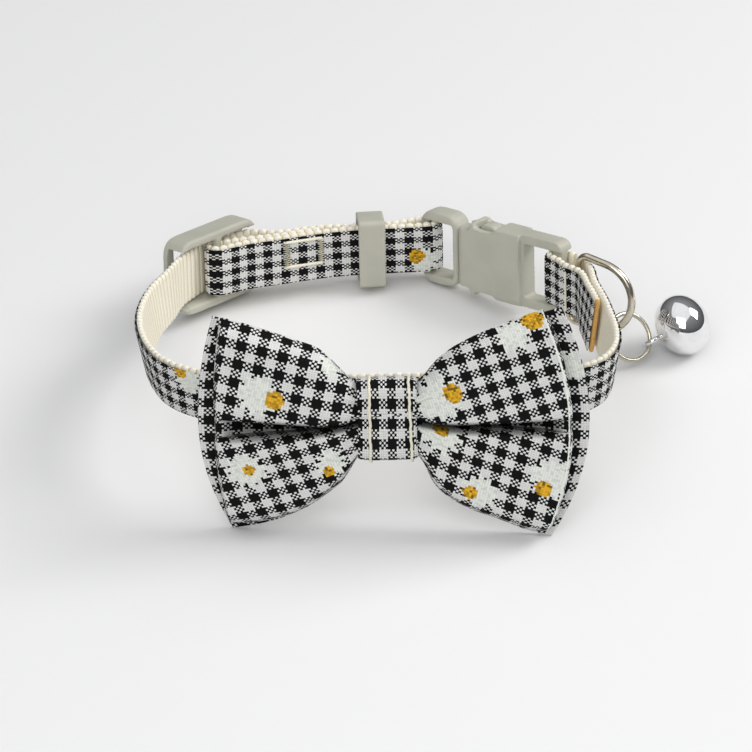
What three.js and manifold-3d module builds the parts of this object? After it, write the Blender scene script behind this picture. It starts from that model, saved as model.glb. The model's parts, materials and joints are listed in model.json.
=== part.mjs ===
// A cat collar, lying on its edge with the bow to the front (-Y) and the buckle at the back (+Y).
//
// Millimetres, +Z up. The strap loop is drawn in a frame of its own: u to the right, v to the back
// and w up across the strap, with the origin on the webbing's middle line behind the bow. The whole
// collar then leans back by `lean` and sideways by `roll`, so that it stands on the bow's two lower
// tips and on the lower edge of the buckle. The jump ring and the bell lie on the table beside it.
import * as THREE from "three";
import { mergeVertices } from "three/addons/utils/BufferGeometryUtils.js";
import Module from "manifold-3d";

const wasm = await Module();
wasm.setup();

// ---------------------------------------------------------------- driving dimensions

const gap = 0.3; // clearance between pieces that touch on the real collar
const lean = 10.7; // degrees that the loop leans back from the bow to the buckle
const roll = 1.3; // degrees that the loop leans to the left

const strap = { width: 10, webbing: 1.0, ribbon: 1.0, seam: 0.2 };
const keeper = { u: -3.0, v: 78.3, turn: 5, width: 5.2, height: 13.9, wall: 0.9, round: 1.2 };
const slider = { u: -33.6, v: 70.1, turn: 48, length: 21.4, height: 15.2, rail: 1.7, round: 3.6 };
slider.w = 0.4; // how much higher than the strap's middle it stands
slider.bar = { width: 1.5, depth: 1.3, middleOut: -1.2, endOut: 2.7 };
slider.endBar = 2.0; // how long each end bar is, along the strap
slider.slack = 0.7; // how far the strap hangs off the end bars
const buckle = { u: 8.0, v: 82.0, turn: -39, length: 34.6, height: 15.0, thick: 6.2, bar: 1.9 };
buckle.maleOut = -0.9; // both bars lie nearer the neck than the buckle's middle
buckle.femaleOut = -0.7;
buckle.lip = 0.4; // how far the female bar lies inside the end of its half
const dRing = { u: 36.14, v: 55.76, turn: -68, wire: 1.5, height: 13.8, reach: 12.3 };
dRing.swing = -29; // degrees from the collar's left-right line towards the front
dRing.sag = 12.8; // degrees that its round end hangs down
const jumpRing = { wire: 0.85, radius: 5.05 };
const bell = { radius: 6.0, halfHeight: 5.2, wall: 0.45, slit: 0.8, hole: 0.9, pellet: 1.9 };
bell.ear = { radius: 1.75, wire: 0.9 };
// Places of what lies beside the collar, from the webbing's middle behind the bow.
jumpRing.centre = { x: 46.6, y: 49.35, z: -17.53 };
jumpRing.normal = { x: -0.5, y: 0.59, z: -0.64 };
bell.centre = { x: 56.83, y: 52.09, z: -16.5 };
bell.axis = { x: 0.88, y: 0.25, z: 0.4 }; // from its ear to its slit
bell.spin = -20;
const bow = { u: 0, w: -2.0, wall: 1.0, knot: 5.6 };
const wrap = { w: -1.6, width: 11.2, height: 16.4, wall: 1.0, round: 2.4 };

const white = { color: 0xe9e6da, roughness: 0.85, metalness: 0 };
const cream = { color: 0xf1e8d0, roughness: 0.8, metalness: 0 };
const plastic = { color: 0x9c9a8c, roughness: 0.42, metalness: 0 };
const nickel = { color: 0xc9c2b2, roughness: 0.22, metalness: 1 };
const chrome = { color: 0xe6e6e6, roughness: 0.07, metalness: 1 };

// ---------------------------------------------------------------- helpers

const radians = THREE.MathUtils.degToRad;

// A closed three.js geometry as a manifold-3d solid, and back.
function solidOf(geometry) {
  const bare = new THREE.BufferGeometry();
  const loose = geometry.index ? geometry.toNonIndexed() : geometry;
  bare.setAttribute("position", loose.getAttribute("position"));
  const merged = mergeVertices(bare, 1e-4);
  const vertProperties = merged.attributes.position.array;
  const triVerts = new Uint32Array(merged.index.array);
  return new wasm.Manifold(new wasm.Mesh({ numProp: 3, vertProperties, triVerts }));
}

function geometryOf(solid) {
  const mesh = solid.getMesh();
  const geometry = new THREE.BufferGeometry();
  geometry.setAttribute("position", new THREE.BufferAttribute(mesh.vertProperties, 3));
  geometry.setIndex(new THREE.BufferAttribute(mesh.triVerts, 1));
  geometry.computeVertexNormals();
  return geometry;
}

function piece(name, geometry, finish) {
  const mesh = new THREE.Mesh(geometry, new THREE.MeshStandardMaterial(finish));
  mesh.name = name;
  return mesh;
}

// A point of the plan, `along` and `out` from a frame { u, v, turn } that stands on the strap.
function at(frame, along, out) {
  const c = Math.cos(radians(frame.turn));
  const s = Math.sin(radians(frame.turn));
  return new THREE.Vector2(frame.u + along * c - out * s, frame.v + along * s + out * c);
}

// Lays a geometry made with x along the strap, y up across it and z towards the neck into a frame.
function stand(geometry, frame) {
  const c = Math.cos(radians(frame.turn));
  const s = Math.sin(radians(frame.turn));
  const along = new THREE.Vector3(c, s, 0);
  const across = new THREE.Vector3(0, 0, 1);
  const inward = new THREE.Vector3(s, -c, 0);
  const basis = new THREE.Matrix4().makeBasis(along, across, inward);
  return geometry.applyMatrix4(basis.setPosition(frame.u, frame.v, 0));
}

// A rounded rectangle between x0 and x1, of the given height, about the x axis.
function roundedRect(x0, x1, height, round, Kind = THREE.Shape) {
  const h = height / 2;
  const shape = new Kind();
  shape.moveTo(x0 + round, -h);
  shape.lineTo(x1 - round, -h);
  shape.quadraticCurveTo(x1, -h, x1, -h + round);
  shape.lineTo(x1, h - round);
  shape.quadraticCurveTo(x1, h, x1 - round, h);
  shape.lineTo(x0 + round, h);
  shape.quadraticCurveTo(x0, h, x0, h - round);
  shape.lineTo(x0, -h + round);
  shape.quadraticCurveTo(x0, -h, x0 + round, -h);
  return shape;
}

// A plate of the outline, `depth` thick about z = middle, its edges eased by `ease`.
function plate(shape, depth, middle = 0, ease = 0.4, curveSegments = 5) {
  const flat = depth - 2 * ease;
  const settings = { depth: flat, curveSegments, bevelThickness: ease, bevelSize: ease };
  settings.bevelOffset = -ease;
  settings.bevelSegments = 2;
  settings.bevelEnabled = ease > 0;
  return new THREE.ExtrudeGeometry(shape, settings).translate(0, 0, middle - flat / 2);
}

function block(x0, x1, y0, y1, z0, z1) {
  const box = new THREE.BoxGeometry(x1 - x0, y1 - y0, z1 - z0);
  return box.translate((x0 + x1) / 2, (y0 + y1) / 2, (z0 + z1) / 2);
}

// A closed wall between two grids of points. Each row runs the same way. Where `round` is true the
// rows close on themselves, and otherwise the wall has a rim at its sides as it has at its ends.
function wallOf(front, back, round) {
  const rows = front.length;
  const columns = front[0].length;
  const corners = [];
  const quad = (a, b, c, d) => corners.push(a, b, c, a, c, d);
  const last = round ? columns : columns - 1;
  for (let j = 0; j < last; j++) {
    const k = (j + 1) % columns;
    for (let i = 0; i + 1 < rows; i++) {
      quad(front[i][j], front[i][k], front[i + 1][k], front[i + 1][j]);
      quad(back[i][k], back[i][j], back[i + 1][j], back[i + 1][k]);
    }
    quad(back[0][j], back[0][k], front[0][k], front[0][j]);
    quad(front[rows - 1][j], front[rows - 1][k], back[rows - 1][k], back[rows - 1][j]);
  }
  if (!round) {
    for (let i = 0; i + 1 < rows; i++) {
      quad(front[i][0], front[i + 1][0], back[i + 1][0], back[i][0]);
      const end = columns - 1;
      quad(back[i][end], back[i + 1][end], front[i + 1][end], front[i][end]);
    }
  }
  return new THREE.BufferGeometry().setFromPoints(corners);
}

// A wire along a closed line of points, with an even number of sides.
function wireLoop(points, radius, sides = 10) {
  const count = points.length;
  const rings = points.map((point, i) => {
    const before = points[(i + count - 1) % count];
    const after = points[(i + 1) % count];
    const forward = after.clone().sub(before).normalize();
    const side = new THREE.Vector3(0, 0, 1);
    const other = new THREE.Vector3().crossVectors(forward, side);
    return Array.from({ length: sides }, (_, k) => {
      const angle = (2 * Math.PI * k) / sides;
      const offset = side.clone().multiplyScalar(radius * Math.cos(angle));
      return offset.addScaledVector(other, radius * Math.sin(angle)).add(point);
    });
  });
  const corners = [];
  for (let i = 0; i < count; i++) {
    const a = rings[i];
    const b = rings[(i + 1) % count];
    for (let k = 0; k < sides; k++) {
      const m = (k + 1) % sides;
      corners.push(a[k], b[m], b[k], a[k], a[m], b[m]);
    }
  }
  return new THREE.BufferGeometry().setFromPoints(corners);
}

// ---------------------------------------------------------------- the strap's route

// One strip makes the whole collar. It starts as a tail sewn behind the slider's middle bar, turns
// round that bar, runs inside the back to the buckle, turns round the male bar, runs back on the
// outside, weaves through the slider, goes all the way round the neck, and turns round the female
// bar into a short inner tail that holds the D-ring.
const half = strap.webbing / 2;
const layers = strap.webbing + gap; // from one bare layer's middle to the next one's

// The radius of the webbing's middle where it turns round a bar, clear of the bar's corners.
function turnRadius(width, depth) {
  return Math.hypot(width, depth) / 2 + 0.1 + half;
}

const fold = turnRadius(buckle.bar, buckle.bar);
const maleBar = buckle.bar / 2;
const femaleBar = buckle.length - buckle.lip - buckle.bar / 2;
const tailStart = { u: -12.8, v: 77.2, turn: 16 };
const backBend = { u: -20.4, v: 74.5, turn: 20 };
const innerBend = { u: -27.4, v: 71.0, turn: 13 };
const nearBuckle = { u: 3.6, v: 79.3, turn: 12 };

// The single layer round the neck, from the slider to the D-ring. flare is how far its top edge
// stands out past the middle, and its lower edge in.
const neckLine = [
  { u: -41.6, v: 55.4, flare: 0.3 },
  { u: -43.9, v: 47.5, flare: 0.6 },
  { u: -45.2, v: 39.0, flare: 0.8 },
  { u: -45.4, v: 31.0, flare: 0.9 },
  { u: -44.7, v: 24.0, flare: 0.9 },
  { u: -43.2, v: 17.6, flare: 0.9 },
  { u: -40.8, v: 11.4, flare: 0.8 },
  { u: -36.8, v: 6.4, flare: 0.6 },
  { u: -31.0, v: 2.7, flare: 0.4 },
  { u: -22.0, v: 0.7, flare: 0.2 },
  { u: -11.0, v: 0.1, flare: 0 },
  { u: 0.0, v: 0.0, flare: 0 },
  { u: 11.0, v: 0.1, flare: 0 },
  { u: 21.0, v: 0.4, flare: 0.2 },
  { u: 29.5, v: 1.1, flare: 0.4 },
  { u: 35.6, v: 3.3, flare: 0.6 },
  { u: 39.4, v: 7.4, flare: 0.8 },
  { u: 41.4, v: 13.5, flare: 0.9 },
  { u: 41.8, v: 20.5, flare: 0.9 },
  { u: 41.2, v: 29.0, flare: 0.8 },
  { u: 40.3, v: 37.5, flare: 0.7 },
  { u: 39.2, v: 46.0, flare: 0.4 },
];

// The end of the inner tail, sewn to the inside of the single layer. It runs the other way, so its
// flare is turned round.
const innerTailLine = [
  { u: 37.9, v: 44.2, flare: -0.4 },
  { u: 38.7, v: 38.6, flare: -0.6 },
  { u: 39.2, v: 34.0, flare: -0.7 },
];

// A half turn in the plan, from angle to angle about a point, both in degrees.
function turnRound(centre, radius, from, to, steps = 4) {
  return Array.from({ length: steps + 1 }, (_, i) => {
    const angle = radians(from + ((to - from) * i) / steps);
    const spoke = new THREE.Vector2(Math.cos(angle), Math.sin(angle));
    return spoke.multiplyScalar(radius).add(centre);
  });
}

function strapRoute() {
  const sliderFold = turnRadius(slider.bar.width, slider.bar.depth);
  const middle = slider.bar.middleOut;
  const overBar = middle + sliderFold + layers; // over the sewn end, outside the middle bar
  const underBar = slider.bar.endOut - slider.bar.depth / 2 - gap - strap.ribbon - half;
  const underEnd = underBar - slider.slack;
  const endBar = slider.length / 2 - 1.2; // where the strap passes under an end bar
  const tail = [at(tailStart, 0, 0), at(backBend, 0, 0), at(innerBend, 0, layers + 0.4)];
  const bend = innerBend.turn;
  const round = turnRound(at(slider, 0, middle), sliderFold, bend + 90, bend + 270);
  const inner = [
    at(innerBend, 0, -0.4),
    at(backBend, 0, -layers),
    at(tailStart, 0, -layers),
    at(keeper, -4.5, -layers / 2 - 0.2),
    at(keeper, 0, -layers / 2),
    at(nearBuckle, 0, -1.2),
  ];
  const maleBarAt = at(buckle, maleBar, buckle.maleOut);
  const male = turnRound(maleBarAt, fold, nearBuckle.turn - 90, nearBuckle.turn + 90);
  const outer = [
    at(nearBuckle, 0, 1.2),
    at(keeper, 3.0, layers / 2),
    at(keeper, -3.0, layers / 2),
    at(tailStart, 0, layers),
    at(backBend, 0, layers + 0.5),
    at(slider, endBar, underEnd),
    at(slider, endBar / 2, (underEnd + overBar) / 2),
    at(slider, 0, overBar + 0.2),
    at(slider, -endBar / 2, (underEnd + overBar) / 2 + 0.4),
    at(slider, -endBar, underEnd),
  ];
  const flared = ({ u, v, flare }) => new THREE.Vector3(u, v, flare);
  const sway = (Math.sin(radians(dRing.sag)) * dRing.height) / 2; // of the straight bar's ends
  const across = Math.sin(radians(dRing.swing - dRing.turn)); // the part of it that opens the fold
  const wireFold = dRing.wire / 2 + gap + half + sway * across * 0.6;
  const intoBuckle = [at(dRing, 3, wireFold - 0.3), at(dRing, 0, wireFold), at(dRing, -3, wireFold)];
  const femaleBarAt = at(buckle, femaleBar, buckle.femaleOut);
  const female = turnRound(femaleBarAt, fold, dRing.turn + 90, dRing.turn + 270);
  const innerTail = [
    at(dRing, -3, -wireFold),
    at(dRing, 0, -wireFold),
    at(dRing, 4.5, -layers + 0.4),
    ...innerTailLine.map(flared),
  ];
  const points = [...tail, ...round, ...inner, ...male, ...outer, ...neckLine.map(flared)];
  points.push(...intoBuckle, ...female, ...innerTail);
  return { points, ribbonStart: tail.length + (round.length - 1) / 2 };
}

// The route as a smooth line with a few steps between its stations. Each step holds its place, its
// right-hand normal and its flare.
const stepsBetween = 3;

function smoothLine({ points, ribbonStart }) {
  const space = points.map((p) => new THREE.Vector3(p.x, p.y, p.z ?? 0));
  const curve = new THREE.CatmullRomCurve3(space, false, "centripetal");
  const line = curve.getPoints((space.length - 1) * stepsBetween);
  const steps = line.map((place, i) => {
    const before = line[Math.max(i - 1, 0)];
    const after = line[Math.min(i + 1, line.length - 1)];
    const forward = new THREE.Vector2(after.x - before.x, after.y - before.y).normalize();
    return { place, normal: new THREE.Vector3(forward.y, -forward.x, 0), flare: place.z };
  });
  return { steps, ribbonStart: ribbonStart * stepsBetween };
}

// The strip between two offsets to the right of the line, as wide as the strap.
function strip(steps, from, to) {
  const edge = (offset, up) =>
    steps.map(({ place, normal, flare }) => {
      const point = place.clone().setZ((up * strap.width) / 2);
      return point.addScaledVector(normal, offset + up * flare);
    });
  return wallOf([edge(to, -1), edge(to, 1)], [edge(from, -1), edge(from, 1)], false);
}

// ---------------------------------------------------------------- the bow

// One row for each section of a wing, from the knot (0) to its edge (1). top and bottom are the
// heights above and below the middle, swell is how far the cloth stands forward, and pleat is how
// much of that the fold along the middle takes back.
const leftWing = [
  { out: 0.0, top: 7.1, bottom: 6.1, swell: 0.0, pleat: 0.0 },
  { out: 0.05, top: 8.2, bottom: 7.4, swell: 0.6, pleat: 0.8 },
  { out: 0.12, top: 10.0, bottom: 10.6, swell: 1.6, pleat: 1.0 },
  { out: 0.25, top: 13.2, bottom: 13.8, swell: 2.6, pleat: 0.9 },
  { out: 0.42, top: 15.6, bottom: 16.9, swell: 2.7, pleat: 0.7 },
  { out: 0.6, top: 17.2, bottom: 18.8, swell: 2.4, pleat: 0.45 },
  { out: 0.8, top: 18.8, bottom: 20.1, swell: 1.9, pleat: 0.2 },
  { out: 1.0, top: 20.0, bottom: 20.8, swell: 1.3, pleat: 0.0 },
];
const rightWing = [
  { out: 0.0, top: 7.1, bottom: 6.1, swell: 0.0, pleat: 0.0 },
  { out: 0.05, top: 8.4, bottom: 8.0, swell: 0.6, pleat: 0.8 },
  { out: 0.12, top: 11.0, bottom: 12.4, swell: 1.6, pleat: 1.0 },
  { out: 0.25, top: 13.7, bottom: 15.4, swell: 2.6, pleat: 0.9 },
  { out: 0.42, top: 16.0, bottom: 17.8, swell: 2.7, pleat: 0.7 },
  { out: 0.6, top: 17.8, bottom: 19.6, swell: 2.4, pleat: 0.45 },
  { out: 0.8, top: 19.6, bottom: 21.6, swell: 1.9, pleat: 0.2 },
  { out: 1.0, top: 21.2, bottom: 22.7, swell: 1.3, pleat: 0.0 },
];
const rightForward = 2.5; // how far the right wing's edge swings to the front

// How far each layer's side edges are from the bow's middle at their top, half-way and at their
// foot, and how its heights compare with the tables above and below the middle.
const frontLayer = {
  left: { top: 28.6, middle: 30.9, foot: 28.6 },
  right: { top: 28.4, middle: 33.0, foot: 28.4 },
  taller: 1.04,
  deeper: 0.94,
};
const backLayer = {
  left: { top: 31.0, middle: 34.4, foot: 28.7 },
  right: { top: 31.6, middle: 36.7, foot: 29.4 },
  taller: 1,
  deeper: 1,
};
const bowRows = 13;
const pleatWidth = 0.2;

// A point of one layer of cloth. side is -1 or 1, share runs from -1 to 1 up the wing, depth is
// how far in front of the webbing the layer lies at the knot, puff is how much it swells, and inset
// is how far it stays inside the layer's side edge.
function clothPoint(side, section, share, layer, { depth, puff, inset = 0 }) {
  const { top, middle, foot } = side < 0 ? layer.left : layer.right;
  const corner = share > 0 ? top : foot;
  const edge = middle - (middle - corner) * share * share - inset;
  const valley = section.pleat * Math.exp(-((share / pleatWidth) ** 2));
  const swell = section.swell * puff * (1 - valley);
  const u = side * (bow.knot + (edge - bow.knot) * section.out);
  const tall = 1 + (layer.taller - 1) * section.out;
  const deep = 1 + (layer.deeper - 1) * section.out;
  const height = share > 0 ? section.top * tall * share : section.bottom * deep * share;
  const forward = side > 0 ? rightForward * section.out ** 2 : 0;
  return new THREE.Vector3(bow.u + u, -depth - swell - forward, bow.w + height);
}

// A layer's points, in rows from its left edge, through the knot, to its right edge.
function clothGrid(layer, form) {
  return Array.from({ length: bowRows }, (_, i) => {
    const share = (2 * i) / (bowRows - 1) - 1;
    const left = leftWing.map((section) => clothPoint(-1, section, share, layer, form)).reverse();
    const right = rightWing.map((section) => clothPoint(1, section, share, layer, form));
    return [...left, ...right];
  });
}

// From the webbing outwards: the ribbon, the wrap's back, the bow's back layer, the front layer's
// two walls and the wrap's front, each a gap of `close` in front of the one before.
const close = 0.25;
const wrapBack = half + strap.seam + strap.ribbon + gap;
const backDepth = wrapBack + wrap.wall + close;
const frontDepth = backDepth + bow.wall + close;
const backPuff = 0.3;
const pocketPuff = 0.45;
const frontPuff = 1.0;

function bowBack() {
  const front = clothGrid(backLayer, { depth: backDepth + bow.wall, puff: backPuff });
  const back = clothGrid(backLayer, { depth: backDepth, puff: backPuff });
  return wallOf(front, back, false);
}

// The front layer is a flat sleeve: a front and a back wall that turn into each other at the two
// side edges, with a pocket between them that is open at the top and at the bottom.
function bowFront() {
  const inset = bow.wall;
  const grids = [
    { depth: frontDepth, puff: pocketPuff },
    { depth: frontDepth + bow.wall, puff: pocketPuff, inset },
    { depth: frontDepth + bow.wall + close, puff: frontPuff, inset },
    { depth: frontDepth + 2 * bow.wall + close, puff: frontPuff },
  ];
  const [rearOut, rearIn, foreIn, foreOut] = grids.map((form) => clothGrid(frontLayer, form));
  const outer = foreOut.map((row, i) => [...row, ...rearOut[i].slice().reverse()]);
  const inner = foreIn.map((row, i) => [...row, ...rearIn[i].slice().reverse()]);
  return wallOf(outer, inner, true);
}

// The band that pinches the bow's middle: a ring round its cloth, open to the left and right.
function bowWrap() {
  const front = wrapBack + 3 * (close + bow.wall) + 2 * wrap.wall + close;
  const ring = roundedRect(-front, -wrapBack, wrap.height, wrap.round);
  const { wall, height, round } = wrap;
  const room = roundedRect(wall - front, -wrapBack - wall, height - 2 * wall, round / 5, THREE.Path);
  ring.holes.push(room);
  const body = plate(ring, wrap.width, 0, 0.35);
  const upright = new THREE.Matrix4().makeBasis(
    new THREE.Vector3(0, 1, 0),
    new THREE.Vector3(0, 0, 1),
    new THREE.Vector3(1, 0, 0),
  );
  return body.applyMatrix4(upright).translate(bow.u, 0, wrap.w);
}

// ---------------------------------------------------------------- plastic pieces

function keeperBand() {
  const stack = 2 * (strap.webbing + strap.seam + strap.ribbon) + gap;
  const depth = stack + 2 * (0.25 + keeper.wall);
  const { wall, height, round } = keeper;
  const ring = roundedRect(-depth / 2, depth / 2, height, round);
  const room = roundedRect(wall - depth / 2, depth / 2 - wall, height - 2 * wall, 0.3, THREE.Path);
  ring.holes.push(room);
  const body = plate(ring, keeper.width, 0, 0.25);
  const c = Math.cos(radians(keeper.turn));
  const s = Math.sin(radians(keeper.turn));
  const upright = new THREE.Matrix4().makeBasis(
    new THREE.Vector3(-s, c, 0),
    new THREE.Vector3(0, 0, 1),
    new THREE.Vector3(c, s, 0),
  );
  return body.applyMatrix4(upright).translate(keeper.u, keeper.v, 0);
}

// Two rails joined by three bars. The middle bar lies nearer the neck than the end bars, so that
// the strap can weave over it and under them.
function sliderFrame() {
  const { length, height, rail, round, bar } = slider;
  const inside = height - 2 * rail;
  const near = bar.depth / 2 - bar.middleOut;
  const far = -bar.endOut - bar.depth / 2;
  const outline = roundedRect(-length / 2, length / 2, height, round);
  const opening = (from, to) => roundedRect(from, to, inside, 0.8, THREE.Path);
  const slotEnd = length / 2 - slider.endBar;
  outline.holes.push(opening(-slotEnd, -bar.width / 2), opening(bar.width / 2, slotEnd));
  const body = plate(outline, near - far, (near + far) / 2, 0.5);
  const reach = inside / 2;
  const overMiddle = block(-bar.width, bar.width, -reach, reach, far - 1, near - bar.depth);
  const room = far + bar.depth;
  const underLeft = block(-length, 0.1 - slotEnd, -reach, reach, room, near + 1);
  const underRight = block(slotEnd - 0.1, length, -reach, reach, room, near + 1);
  const cuts = [overMiddle, underLeft, underRight].map(solidOf);
  const frame = cuts.reduce((all, cut) => all.subtract(cut), solidOf(body));
  return stand(geometryOf(frame).translate(0, slider.w, 0), slider);
}

// Places along the buckle, from the male bar's outer side, and across it from its middle.
const shoulder = 9.4; // the male frame's end
const mouth = 9.8; // the female half's beginning
const sideWall = 12.9; // where the female half takes its full height
const cavity = { end: 22.4, half: 6.0, deep: 1.7 };
const prong = { end: 20.2, inner: 3.8, outer: 5.7, press: 7.3, thick: 2.8 };
const window = { from: 13.9, to: 19.0, floor: 6.4 };
const maleSlotEnd = 8.2;
const femaleSlot = 25.5;
const slotHeight = buckle.height - 3.8; // both slots, a little higher than the strap is wide
const endNear = 2.0; // how far the female half's thinner end reaches towards the neck, and away
const endFar = 1.6;

// Thins what lies between two places along the buckle to the bar that the strap turns round.
function thinBar(body, from, to, middle) {
  const reach = slotHeight / 2;
  const t = buckle.bar / 2;
  const outside = solidOf(block(from, to, -reach, reach, -buckle.thick, -middle - t));
  const inside = solidOf(block(from, to, -reach, reach, t - middle, buckle.thick));
  return body.subtract(outside).subtract(inside);
}

// The male half: a frame with the strap's slot, two springy prongs with their thumb presses, and a
// guide between them.
function buckleMale() {
  const frame = solidOf(plate(roundedRect(0, shoulder, buckle.height, 3.4), 4.6, 0, 0.8));
  const slot = roundedRect(buckle.bar, maleSlotEnd, slotHeight, 0.7);
  const { end, inner, outer, press, thick } = prong;
  const arm = new THREE.Shape();
  arm.moveTo(shoulder - 1, inner);
  arm.lineTo(end, inner + 0.4);
  arm.lineTo(end, outer - 0.5);
  arm.lineTo(window.to - 0.4, outer);
  arm.quadraticCurveTo(window.to - 0.9, press, window.to - 2.3, press);
  arm.lineTo(window.from + 1.9, press);
  arm.quadraticCurveTo(window.from + 0.6, press, window.from + 0.4, outer);
  arm.lineTo(shoulder - 1, outer);
  const upper = solidOf(plate(arm, thick, 0, 0.25));
  const lower = upper.mirror([0, 1, 0]);
  const guide = solidOf(block(shoulder - 1, end - 1, -1.2, 1.2, -0.8, 0.8));
  const open = frame.subtract(solidOf(plate(slot, buckle.thick, 0, 0)));
  const body = thinBar(open, -1, buckle.bar + 0.1, buckle.maleOut);
  return stand(geometryOf(body.add(upper).add(lower).add(guide)), buckle);
}

// The female half: a shell with a room for the prongs, windows for their presses, notched corners
// at its mouth, and a thinner end with the strap's slot.
function buckleFemale() {
  const { length, height, thick, bar, femaleOut, lip } = buckle;
  const shell = solidOf(plate(roundedRect(mouth, length, height, 2.2), thick, 0, 1.1));
  const end = length - lip - bar;
  const slot = roundedRect(femaleSlot, end, slotHeight, 0.7);
  const notch = new THREE.Shape();
  notch.moveTo(mouth - 1, cavity.half);
  notch.lineTo(sideWall - 0.7, cavity.half);
  notch.quadraticCurveTo(sideWall, cavity.half, sideWall, cavity.half + 0.8);
  notch.lineTo(sideWall + 0.1, height);
  notch.lineTo(mouth - 1, height);
  const bowl = new THREE.Shape();
  bowl.moveTo(window.from - 0.3, height);
  bowl.lineTo(window.from, window.floor + 0.5);
  bowl.quadraticCurveTo(window.from + 0.5, window.floor, window.from + 1.9, window.floor);
  bowl.lineTo(window.to - 1.9, window.floor);
  bowl.quadraticCurveTo(window.to - 0.4, window.floor, window.to + 0.1, window.floor + 0.8);
  bowl.lineTo(window.to + 0.5, height);
  const { deep } = cavity;
  const side = [notch, bowl].map((shape) => solidOf(plate(shape, thick + 2, 0, 0)));
  side.push(solidOf(block(window.from, window.to, cavity.half - 0.5, height, -deep, deep)));
  const room = block(mouth - 1, cavity.end, -cavity.half, cavity.half, -deep, deep);
  const faces = [
    block(femaleSlot - 0.5, length + 1, -height, height, endNear, thick),
    block(femaleSlot - 1.3, length + 1, -height, height, -thick, -endFar),
  ];
  const cuts = [room, ...faces].map(solidOf);
  cuts.push(solidOf(plate(slot, thick + 1, 0, 0)));
  cuts.push(...side, ...side.map((solid) => solid.mirror([0, 1, 0])));
  const body = cuts.reduce((all, cut) => all.subtract(cut), shell);
  return stand(geometryOf(thinBar(body, end - 0.1, length + 1, femaleOut)), buckle);
}

// ---------------------------------------------------------------- metal pieces

// The D-ring's wire in its own plane: x outwards from the straight bar, y up.
function dLine() {
  const h = dRing.height / 2;
  const round = 1.4;
  const arc = 14;
  const points = [new THREE.Vector3(0, -h + round, 0), new THREE.Vector3(0, 0, 0)];
  points.push(new THREE.Vector3(0, h - round, 0));
  points.push(new THREE.Vector3(round * 0.3, h - round * 0.3, 0));
  for (let i = 0; i <= arc; i++) {
    const angle = Math.PI / 2 - (Math.PI * i) / arc;
    const x = dRing.reach - h + h * Math.cos(angle);
    points.push(new THREE.Vector3(x, h * Math.sin(angle), 0));
  }
  points.push(new THREE.Vector3(round * 0.3, -h + round * 0.3, 0));
  return points;
}

function dRingWire() {
  const wire = wireLoop(dLine(), dRing.wire / 2, 10).rotateZ(-radians(dRing.sag));
  const frame = { u: dRing.u, v: dRing.v, turn: dRing.swing };
  return stand(wire, frame);
}

// The jump ring in its own plane, about +z.
function ringWire() {
  const { radius, wire } = jumpRing;
  return new THREE.TorusGeometry(radius - wire / 2, wire / 2, 8, 32);
}

// The bell about its own axis, with the slit towards +z and the loop towards -z.
function bellShell(radius, halfHeight) {
  const steps = 16;
  const arc = Array.from({ length: steps + 1 }, (_, i) => {
    const angle = Math.PI * (i / steps - 0.5);
    const out = i % steps === 0 ? 0 : radius * Math.cos(angle);
    return new THREE.Vector2(out, halfHeight * Math.sin(angle));
  });
  return solidOf(new THREE.LatheGeometry(arc, 32).rotateX(Math.PI / 2));
}

function bellBody() {
  const { radius, halfHeight, wall, slit, hole, ear } = bell;
  const reach = radius * 0.8;
  const room = bellShell(radius - wall, halfHeight - wall);
  const ring = new THREE.TorusGeometry(ear.radius, ear.wire / 2, 8, 20).rotateY(Math.PI / 2);
  ring.translate(0, 0, -halfHeight - ear.radius + ear.wire * 0.4);
  const cuts = [solidOf(block(-reach, reach, -slit / 2, slit / 2, 0.3 * halfHeight, 2 * halfHeight))];
  for (const side of [-1, 1]) {
    const drill = new THREE.CylinderGeometry(hole, hole, 2 * halfHeight, 16).rotateX(Math.PI / 2);
    cuts.push(solidOf(drill.translate(side * reach, 0, 1.3 * halfHeight)));
  }
  const shell = bellShell(radius, halfHeight).add(solidOf(ring)).subtract(room);
  return geometryOf(cuts.reduce((all, cut) => all.subtract(cut), shell));
}

// ---------------------------------------------------------------- the collar

const route = smoothLine(strapRoute());
const ribbonSteps = route.steps.slice(route.ribbonStart);
const ribbonIn = half + strap.seam;
const loop = new THREE.Group();
loop.add(
  piece("strap_webbing", strip(route.steps, -half, half), cream),
  piece("strap_ribbon", strip(ribbonSteps, ribbonIn, ribbonIn + strap.ribbon), white),
  piece("keeper", keeperBand(), plastic),
  piece("slider", sliderFrame(), plastic),
  piece("buckle_male", buckleMale(), plastic),
  piece("buckle_female", buckleFemale(), plastic),
  piece("d_ring", dRingWire(), nickel),
  piece("bow_back", bowBack(), white),
  piece("bow_front", bowFront(), white),
  piece("bow_wrap", bowWrap(), white),
);
loop.rotation.set(radians(-lean), radians(-roll), 0);

// Turns an object's own +z into a direction and puts it at a place.
function pointed(object, direction, place) {
  const { x, y, z } = direction;
  const upright = new THREE.Vector3(0, 0, 1);
  object.quaternion.setFromUnitVectors(upright, new THREE.Vector3(x, y, z).normalize());
  object.position.set(place.x, place.y, place.z);
  return object;
}

// The ring hangs on the D-ring, and the bell lies on the table with its ear on the ring.
const ring = pointed(piece("jump_ring", ringWire(), nickel), jumpRing.normal, jumpRing.centre);
const bellGroup = pointed(new THREE.Group(), bell.axis, bell.centre).rotateZ(radians(bell.spin));
const pellet = new THREE.IcosahedronGeometry(bell.pellet, 3);
bellGroup.add(piece("bell", bellBody(), chrome), piece("bell_pellet", pellet, nickel));

const collar = new THREE.Group();
collar.add(loop, ring, bellGroup);

// The part's origin is the middle of its box's lowest face.
const box = new THREE.Box3().setFromObject(collar, true);
const middle = box.getCenter(new THREE.Vector3());
collar.position.set(-middle.x, -middle.y, -box.min.z);

export default collar;
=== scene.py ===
"""A cat collar with a gingham bow, a side-release buckle and a bell, made round its frame."""

import json
import math

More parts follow.
